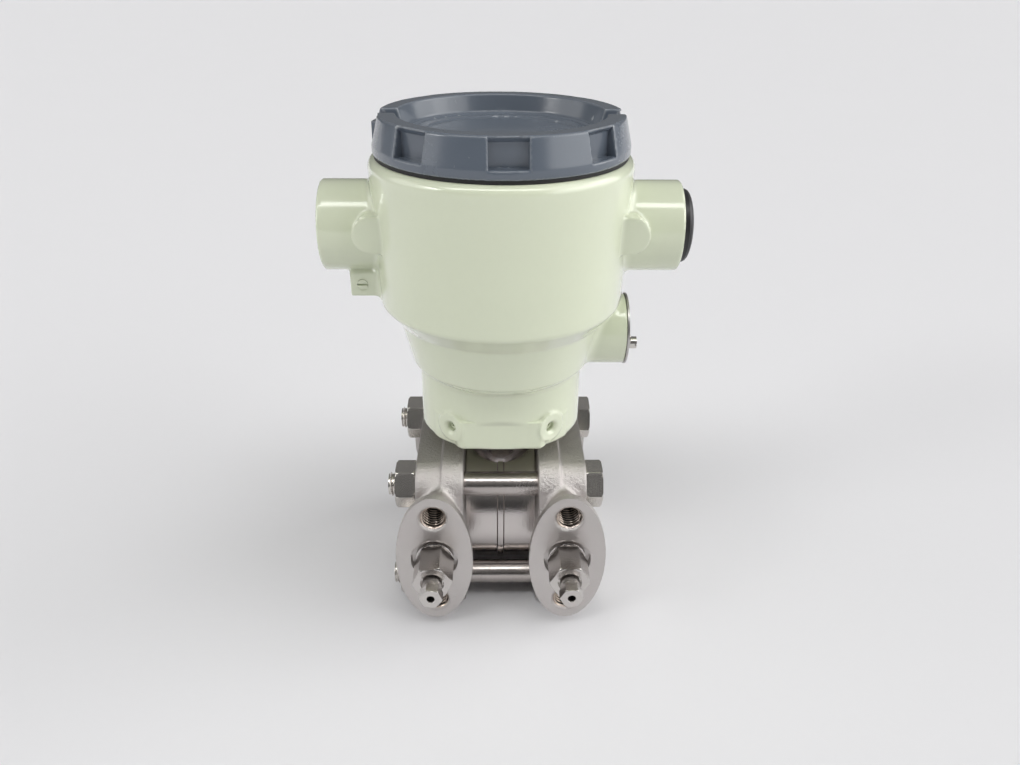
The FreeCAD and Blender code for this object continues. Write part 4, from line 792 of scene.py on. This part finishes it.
def cover_field(p):
    """The cover: grip notches round the rim, a slot for a bar, and the locking tab."""
    x, y, z = p[0], p[1] - AXIS_Y, p[2]
    body = cover_profile(p)
    angle = np.arctan2(x, -y) - math.radians(FIRST_NOTCH)
    angle = (angle + math.pi / NOTCHES) % (2 * math.pi / NOTCHES) - math.pi / NOTCHES
    r = np.hypot(x, y)
    u, v = r * np.sin(angle), r * np.cos(angle)
    notch_floor = 42.8 + np.maximum(z - COVER_TOP + 2.2, 0)
    notch = np.maximum(np.abs(u) - 6.6, notch_floor - v)
    notch = np.maximum(notch, COVER_FOOT + 3.2 - z)
    body = soft_cut(body, notch, 0.9)
    bar_slot = np.maximum(np.abs(y) - 4.5, COVER_TOP - 4.2 - z)
    body = soft_cut(body, bar_slot, 0.8)
    a = math.radians(TAB_ANGLE)
    along, across = -x * math.sin(a) - y * math.cos(a), -x * math.cos(a) + y * math.sin(a)
    tab = np.maximum(np.abs(across) - 2.5, np.abs(z - COVER_FOOT - 4.6) - 3.7)
    tab = np.maximum(tab, np.maximum(along - 49.2, 42.0 - along))
    return soft_union(body, tab, 0.8)


cover_skin = skin("cover_casting", cover_field, cover_low, cover_high, 0.5 * FINE)
cover = add("cover_casting", lighten(cover_skin, 0.5))
dress(cover, cover_paint, "cover", "cover_paint", "cover")

# -------------------- process flanges

# the vent plugs sit in a seat that is cut a little deeper round them
SEAT_DEPTH = 1.5
SEAT_GAP = 2.0
SEAT_RADIUS = 9.5
PORT_RADIUS = 5.55
HORN_START = 36.5
HORN_HALF_X, HORN_HALF_Z = 15.6, 30.5


def flange_field(p):
    """The low-side flange; the other one is its mirror image."""
    x, y, z = p[0], p[1] - AXIS_Y, p[2]
    out = np.abs(y)
    web = plate(p, 38.1, 34.1, 10.8, 20.0, 34.6, 0.8)
    rim = plate(p, 39.3, 35.3, 12.0, 15.2, 24.2, 0.7)
    body = soft_union(web, rim, 1.2)
    # the oval horns swell from the plate towards their faces
    share = np.clip((out - HORN_START) / (FACE - 3.0 - HORN_START), 0, 1) ** 2.4
    half_x, half_z = HORN_HALF_X - 6.1 * (1 - share), HORN_HALF_Z - 2.5 * (1 - share)
    horn = oval(x - PORT_X + 2.0 * (1 - share), z, half_x, half_z)
    horn = soft_common(horn * 0.8, out - FACE, 0.35)
    horn = np.maximum(horn, 26.0 - out)
    body = soft_union(body, horn, 2.6)
    for sy in (-BOLT_Y, BOLT_Y):
        for sz in (-BOLT_Z, BOLT_Z):
            bolt_hole = rod((x, y, z), 0, (0, sy, sz), BOLT_RADIUS + 0.25, 5, 45, 0.1)
            body = soft_cut(body, bolt_hole, 0.5)
    gasket_recess = rod((x, y, z), 0, (0, 0, 0), 23.8, 5, 16.7, 0.1)
    pressure_chamber = rod((x, y, z), 0, (0, 0, 0), 16.9, 5, 19.1, 0.2)
    body = soft_cut(body, gasket_recess, 0.4)
    body = soft_cut(body, pressure_chamber, 0.3)
    for sign in (-1, 1):
        q = (x, sign * y, z)
        port = (PORT_X, 0, 0)
        depth = SEAT_DEPTH if sign > 0 else SEAT_DEPTH + SEAT_GAP
        body = soft_cut(body, rod(q, 1, port, SEAT_RADIUS, FACE - depth, 60, 0.1), 0.35)
        body = soft_cut(body, rod(q, 1, port, PORT_RADIUS, FACE - 15, 60, 0.1), 0.3)
        for sz in (-HOLE_Z, HOLE_Z):
            radius = HOLE_RADIUS[sign]
            hole = rod(q, 1, (PORT_X, 0, sz), radius, FACE - 13, 60, 0.1)
            mouth = np.hypot(x - PORT_X, z - sz) - radius - (sign * y - FACE + 0.9)
            hole = np.minimum(hole, np.maximum(mouth, FACE - 2 - sign * y))
            body = soft_cut(body, hole, 0.3)
    return body


flange_skin = skin("low_flange", flange_field, flange_low, flange_high, 0.6 * FINE)
flange_mesh = lighten(flange_skin, 0.6)
low_flange = add("low_side_flange", flange_mesh)
mirrored = place(flange_mesh.copy(), Matrix.Scale(-1, 4, Vector((1, 0, 0))))
mirrored.flip_normals()
high_flange = add("high_side_flange", mirrored)
dress(low_flange, flange_steel, "measuring_body", "flange_steel", "process_flange_low")
dress(high_flange, flange_steel, "measuring_body", "flange_steel", "process_flange_high")

# -------------------- bolts, nuts and vent valves

NUT_FACE = nuts_low[0]
BOLT_END = node_box("flange_bolts")[0][0]
HEAD_FACE = -nuts_high[0]
NUT_FLATS, NUT_HEIGHT, HEAD_HEIGHT = 17.0, 8.4, 7.0
THREAD_ROOT = 4.3


def hex_bar(p, flats, start, end, ease_start, ease_end, turn=0.0):
    """A hexagonal bar along +X whose corners are turned off at its ends."""
    radial = np.hypot(p[1], p[2])
    body = np.maximum(hexagon(p[1], p[2], flats, turn), np.maximum(start - p[0], p[0] - end))
    if ease_end:
        body = soft_common(body, radial - flats * 0.515 - (end - p[0]) * 1.8, 0.15)
    if ease_start:
        body = soft_common(body, radial - flats * 0.515 - (p[0] - start) * 1.8, 0.15)
    return body


def head_field(p):
    """A bolt's head, bearing at nought."""
    return hex_bar(p, NUT_FLATS, 0.0, HEAD_HEIGHT, False, True)


def nut_field(p):
    """A nut, bearing at nought and reaching back from there."""
    body = hex_bar(p, NUT_FLATS, -NUT_HEIGHT, 0.0, True, True)
    hole = np.hypot(p[1], p[2]) - BOLT_RADIUS - 0.05
    mouth = hole - 0.6 + np.minimum(p[0] + NUT_HEIGHT, -p[0])
    return soft_cut(body, np.minimum(hole, mouth), 0.3)


head_mesh = skin("bolt_head", head_field, (0, -10, -10), (HEAD_HEIGHT, 10, 10), 0.6)
nut_mesh = skin("flange_nut", nut_field, (-NUT_HEIGHT, -10, -10), (0, 10, 10), 0.6)
shank_mesh = turned_mesh("bolt_shank", [(0.5, BOLT_RADIUS),
                                        (NUT_FACE - HEAD_FACE + 0.2, BOLT_RADIUS)], 64)
shank_mesh.flip_normals()
end_length = NUT_FACE - BOLT_END
point_mesh = turned_mesh("bolt_point", [(0.3, THREAD_ROOT), (end_length - 1.2, THREAD_ROOT),
                                        (end_length - 0.5, 4.2), (end_length, 3.4)], 64)
bolt_thread = thread_mesh("bolt_thread", THREAD_ROOT, BOLT_RADIUS, 3.0, 1.5, end_length + 0.2,
                          0.7)
bolts, shanks, nuts = [], [], []
spots = [(sy * BOLT_Y + AXIS_Y, sz * BOLT_Z) for sz in (1, -1) for sy in (-1, 1)]
head_turns, nut_turns = (0, 9, -6, 14), (0, 4, 10, -8)
to_low, to_high = (1, 0, 0), (-1, 0, 0)
for k, (by, bz) in enumerate(spots):
    bolts.append(place(head_mesh.copy(), aim((HEAD_FACE, by, bz), to_low, head_turns[k])))
    shanks.append(place(shank_mesh.copy(), aim((HEAD_FACE, by, bz), to_low)))
    bolts.append(place(point_mesh.copy(), aim((NUT_FACE, by, bz), to_high)))
    bolts.append(place(bolt_thread.copy(), aim((NUT_FACE + 0.1, by, bz), to_high, 40 * k)))
    nuts.append(place(nut_mesh.copy(), aim((nuts_high[0], by, bz), to_low, nut_turns[k])))
dress(add("bolts_of_the_flanges", joined("bolts", bolts)), bolt_steel, "measuring_body",
      "fastener_steel", "flange_bolts")
dress(add("nuts_of_the_flanges", joined("nuts", nuts)), bolt_steel, "measuring_body",
      "fastener_steel", "flange_nuts")
dress(add("shanks_of_the_bolts", joined("shanks", shanks)), shaded_shank_steel, "measuring_body",
      "fastener_steel")

PLUG_FLATS, STEM_FLATS = 14.0, 8.0
PLUG_OUT = flange_low[1] + SEAT_DEPTH - plug_low[1]
STEM_OUT = plug_low[1] - node_box("vent_stem_low")[0][1]
STEM_NECK = STEM_OUT - 4.7


def bar(p, radius, start, end, edge):
    """A round bar on the X axis."""
    return rod(p, 0, (0, 0, 0), radius, start, end, edge)


def plug_field(p):
    """Along +X outwards from the seat floor of the flange."""
    foot = bar(p, 7.5, -SEAT_GAP, 0.5, 0.3)
    collar = bar(p, 6.9, 0, 1.6, 0.3)
    hexagon_part = hex_bar(p, PLUG_FLATS, 1.3, PLUG_OUT, True, True)
    threaded_end = bar(p, 5.5, -11, 1, 0.4)
    recess = bar(p, 4.6, PLUG_OUT - 2, PLUG_OUT + 5, 0.1)
    bore = np.maximum(np.hypot(p[1], p[2]) - 3.15, -1.2 - p[0])
    body = np.minimum(np.minimum(foot, collar), np.minimum(hexagon_part, threaded_end))
    return soft_cut(soft_cut(body, recess, 0.3), bore, 0.2)


def stem_field(p):
    """Along +X outwards from the plug's end."""
    neck = bar(p, 3.85, -1.7, STEM_NECK + 0.2, 0.4)
    spindle = bar(p, 2.9, -14.5, STEM_NECK, 0.2)
    hexagon_part = hex_bar(p, STEM_FLATS, STEM_NECK, STEM_OUT, True, True)
    outlet = np.maximum(np.hypot(p[1], p[2]) - 1.55, STEM_OUT - 17 - p[0])
    body = np.minimum(np.minimum(neck, spindle), hexagon_part)
    return soft_cut(body, outlet, 0.25)


plug_mesh = skin("vent_plug", plug_field, (-11, -9, -9), (PLUG_OUT, 9, 9), 0.4)
stem_mesh = skin("vent_stem", stem_field, (-14.5, -5, -5), (STEM_OUT, 5, 5), 0.25)
stem_thread = thread_mesh("stem_thread", 2.75, 3.1, 2.0, 1.0, 5.0)
for side, sign, twist in (("high", -1, 8.0), ("low", 1, 0.0)):
    out = (0, -1, 0)
    seat = (sign * PORT_X, flange_low[1] + SEAT_DEPTH, 0)
    end = (sign * PORT_X, plug_low[1], 0)
    plug = place(plug_mesh.copy(), aim(seat, out, twist))
    dress(add("vent_plug_" + side + "_turned", plug), valve_steel,
          "measuring_body", "fastener_steel", "vent_plug_" + side)
    stem = [place(stem_mesh.copy(), aim(end, out, -twist)),
            place(stem_thread.copy(), aim(end, (0, 1, 0)))]
    dress(add("vent_screw_" + side, joined("vent_screw_" + side, stem)), valve_steel,
          "vent_stem_" + side, "fastener_steel", "vent_stem_" + side)

# -------------------- threads in the holes

linings, root_shades = [], []
for sign in (-1, 1):
    for end in (-1, 1):
        for sz in (-HOLE_Z, HOLE_Z):
            radius = HOLE_RADIUS[end]
            lining = thread_mesh("hole_thread", radius + 0.02, radius - 0.85, radius + 0.15,
                                 1.5, 12.0, 0.8)
            mouth = (sign * PORT_X, AXIS_Y + end * (FACE - 0.7), sz)
            linings.append(place(lining, aim(mouth, (0, -end, 0))))
            # a dark tube behind the ridges is painted shade in the roots between them
            sleeve = turned_mesh("sleeve", [(0.8, radius - 0.45), (12.2, radius - 0.45)], 48,
                                 closed=False)
            sleeve.flip_normals()
            root_shades.append(place(sleeve, aim(mouth, (0, -end, 0))))
    lining = thread_mesh("port_thread", 5.57, 5.1, 5.7, 1.41, 12.5, 0.8)
    linings.append(place(lining, aim((sign * PORT_X, AXIS_Y + FACE - 1.8, 0), (0, -1, 0))))
dress(add("threads_in_the_flanges", joined("flange_threads", linings)), thread_steel,
      "measuring_body", "flange_steel")
dress(add("thread_roots_in_the_flanges", joined("thread_roots", root_shades)), painted_shade_thread_root,
      "measuring_body", "flange_steel")
entry = thread_mesh("conduit_thread", 9.32, 8.75, 9.5, 1.81, 15.0, 1.0, 96)
entry = place(entry, aim((-CONDUIT_END + 1.0, AXIS_Y, CONDUIT_Z), (1, 0, 0)))
dress(add("thread_in_the_conduit", entry), housing_paint, "housing", "housing_paint")
screw = thread_mesh("cover_thread", 40.9, 41.35, 40.0, 2.0, 11.0, 1.2, 128)
screw = place(screw, aim((0, AXIS_Y, cover_low[2] + 1.0), (0, 0, 1)))
dress(add("thread_of_the_cover", screw), cover_paint, "cover", "cover_paint")

# -------------------- weld bead, cap, small parts

def weld_bead_mesh(capsule_radius=28.35, half_width=0.75, height=0.45, steps=240, ring=10):
    """The rippled bead round the middle of the capsule."""
    verts = []
    for i in range(steps):
        a = 2 * math.pi * i / steps
        ripple = 0.06 * math.sin(a * 110)
        for k in range(ring):
            b = 2 * math.pi * k / ring
            crown = (height + ripple) * max(0.0, math.cos(b))
            radius = capsule_radius + crown + 0.1 * math.cos(b)
            verts.append((half_width * math.sin(b), AXIS_Y + radius * math.cos(a),
                          radius * math.sin(a)))
    faces = []
    for i in range(steps):
        here, ahead = i * ring, (i + 1) % steps * ring
        for k in range(ring):
            n = (k + 1) % ring
            faces.append((here + k, here + n, ahead + n, ahead + k))
    return make_mesh("weld_bead", verts, faces)


def dust_cap_mesh(rim=2.4, rim_radius=14.0, plug_length=9.0, plug_radius=9.2):
    """A domed push-in cap, with its plug inside the conduit."""
    dome = node_box("conduit_cap")[1][0] - CONDUIT_END - rim
    edge = rim_radius - 0.2
    rows = [(-plug_length, 7.6), (-plug_length, 8.9), (-plug_length + 0.3, plug_radius),
            (0.0, plug_radius), (0.0, edge), (0.2, rim_radius), (rim - 0.2, rim_radius)]
    rows += [(rim + dome * math.sin(t * math.pi / 20), edge * math.cos(t * math.pi / 20))
             for t in range(0, 10)]
    rows += [(rim + dome * 0.999, 0.3)]
    mesh = place(turned_mesh("dust_cap", rows), aim((CONDUIT_END, AXIS_Y, CONDUIT_Z), to_low))
    mesh.flip_normals()
    return mesh


dress(add("weld_bead", weld_bead_mesh()), capsule_steel, "measuring_body", "capsule_steel")
dress(add("dust_cap", dust_cap_mesh()), cap_plastic, "conduit_cap", "cap_plastic",
      "conduit_cap")

# the solids that are shown as they are, with their finishes
KEPT = {
    "capsule_body": capsule_steel, "isolating_diaphragms": capsule_steel,
    "capsule_gaskets": seal_white, "vent_ball_high": valve_steel, "vent_ball_low": valve_steel,
    "set_screws": housing_paint, "earth_screw": housing_paint, "adjuster_plate": plate_steel,
    "adjuster_plate_screws": bolt_steel, "zero_adjuster": bolt_steel,
    "cover_gasket": black_rubber, "amplifier_module": module_plastic,
    "module_screws": bolt_steel, "terminal_block": terminal_plastic,
    "terminal_screws": terminal_brass}
for node, material in KEPT.items():
    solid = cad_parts[node]
    solid.data.materials.clear()
    solid.data.materials.append(material)
    eased = solid.modifiers.new("eased edges", "BEVEL")
    eased.width = 0.15 * MM
    eased.segments = 2
    eased.limit_method = "ANGLE"
    eased.angle_limit = math.radians(40)
    eased.harden_normals = True

# -------------------- stage, light and camera

def make_table(half=6000.0):
    """A pale table just under the part."""
    mesh = make_mesh("floor", [(-half, -half, 0), (half, -half, 0), (half, half, 0),
                               (-half, half, 0)], [(0, 1, 2, 3)])
    table = bpy.data.objects.new("floor", mesh)
    bpy.context.scene.collection.objects.link(table)
    table.location.z = cad_low[2] - 0.0002
    material, tree, shader = new_material("pale table", specular=0.1)
    mottle = use_group(tree, MOTTLE, Broad_scale=6.0, Fine_scale=300.0, Shade_amount=0.01,
                       Fine_amount=0.01)
    tint(tree, shader, (0.80, 0.80, 0.82), mottle.outputs["Shade"])
    shader.inputs["Roughness"].default_value = 0.8
    table.data.materials.append(material)
    return table


def ease(tree, value, low, high):
    """Rises from nought to one between two values."""
    node = tree.nodes.new("ShaderNodeMapRange")
    node.interpolation_type = "SMOOTHSTEP"
    node.inputs["From Min"].default_value = low
    node.inputs["From Max"].default_value = high
    tree.links.new(value, node.inputs["Value"])
    return node.outputs["Result"]


def panel(tree, direction, ranges, soft=0.08):
    """One inside a rectangular patch of the sky, nought outside."""
    result = 1.0
    for value, (low, high) in zip(direction, ranges):
        above = ease(tree, value, low - soft, low + soft)
        below = math_node(tree, "SUBTRACT", 1.0, ease(tree, value, high - soft, high + soft))
        result = math_node(tree, "MULTIPLY", math_node(tree, "MULTIPLY", above, below), result)
    return result


# bright patches of the room: their reach in X, Y and Z, how soft they are, their strength
CEILING_STRIP = ((-0.6, 0.45), (-0.46, -0.28), (0.7, 1.2)), 0.04, 5.6
RIGHT_WINDOW = ((0.6, 1.2), (-0.75, 0.45), (0.02, 0.6)), 0.08, 2.0
LEFT_WINDOW = ((-1.2, -0.72), (-0.55, 0.3), (0.05, 0.6)), 0.08, 1.3
LEFT_PANE = ((-0.9, -0.7), (-0.5, -0.3), (0.36, 0.52)), 0.03, 8.0
BEHIND_CAMERA = ((-0.85, 0.75), (-1.3, -0.45), (-0.4, 0.36))
WALL = 0.62


def make_room():
    """A dim room, darker behind the camera, with a ceiling strip and windows at the sides.
    The camera itself sees a pale wall above the table."""
    world = bpy.data.worlds.new("studio")
    world.use_nodes = True
    tree = world.node_tree
    parts = tree.nodes.new("ShaderNodeSeparateXYZ")
    tree.links.new(tree.nodes.new("ShaderNodeTexCoord").outputs["Generated"], parts.inputs[0])
    direction = parts.outputs
    room = math_node(tree, "MULTIPLY_ADD", ease(tree, direction[2], -0.1, 0.9), 0.12, 0.12)
    shadow = math_node(tree, "MULTIPLY", panel(tree, direction, BEHIND_CAMERA, 0.14), 0.7)
    room = math_node(tree, "MULTIPLY", room, math_node(tree, "SUBTRACT", 1.0, shadow))
    for ranges, soft, strength in (CEILING_STRIP, RIGHT_WINDOW, LEFT_WINDOW, LEFT_PANE):
        patch = panel(tree, direction, ranges, soft)
        room = math_node(tree, "ADD", room, math_node(tree, "MULTIPLY", patch, strength))
    camera_ray = tree.nodes.new("ShaderNodeLightPath").outputs[0]
    seen = math_node(tree, "MULTIPLY", math_node(tree, "SUBTRACT", WALL, room), camera_ray)
    background = tree.nodes["Background"]
    tree.links.new(math_node(tree, "ADD", room, seen), background.inputs["Strength"])
    background.inputs["Color"].default_value = (1.0, 0.995, 0.985, 1)
    return world


def make_window_light():
    """Soft light from the upper right."""
    light = bpy.data.lights.new("soft window light", "SUN")
    light.energy = 0.8
    light.angle = math.radians(50)
    key = bpy.data.objects.new("soft window light", light)
    bpy.context.scene.collection.objects.link(key)
    key.rotation_euler = Vector((-0.95, 0.12, -0.8)).to_track_quat("-Z", "Y").to_euler()


def make_camera(turn=-1.19, down=27.92, roll=0.55):
    """A camera in front of the part, looking down on it; its angles are in degrees."""
    data = bpy.data.cameras.new("camera")
    data.sensor_width = 36.0
    data.lens = 29.294
    camera = bpy.data.objects.new("camera", data)
    bpy.context.scene.collection.objects.link(camera)
    look = (Matrix.Rotation(math.radians(turn), 4, "Z")
            @ Matrix.Rotation(math.radians(90 - down), 4, "X")
            @ Matrix.Rotation(math.radians(roll), 4, "Z"))
    stand = Vector((-2.504, -312.146 + AXIS_Y, 221.708)) * MM
    camera.matrix_world = Matrix.Translation(stand) @ look
    return camera


floor = make_table()
bpy.context.scene.world = make_room()
make_window_light()
bpy.context.scene.camera = make_camera()
bpy.context.scene.view_settings.view_transform = "Standard"
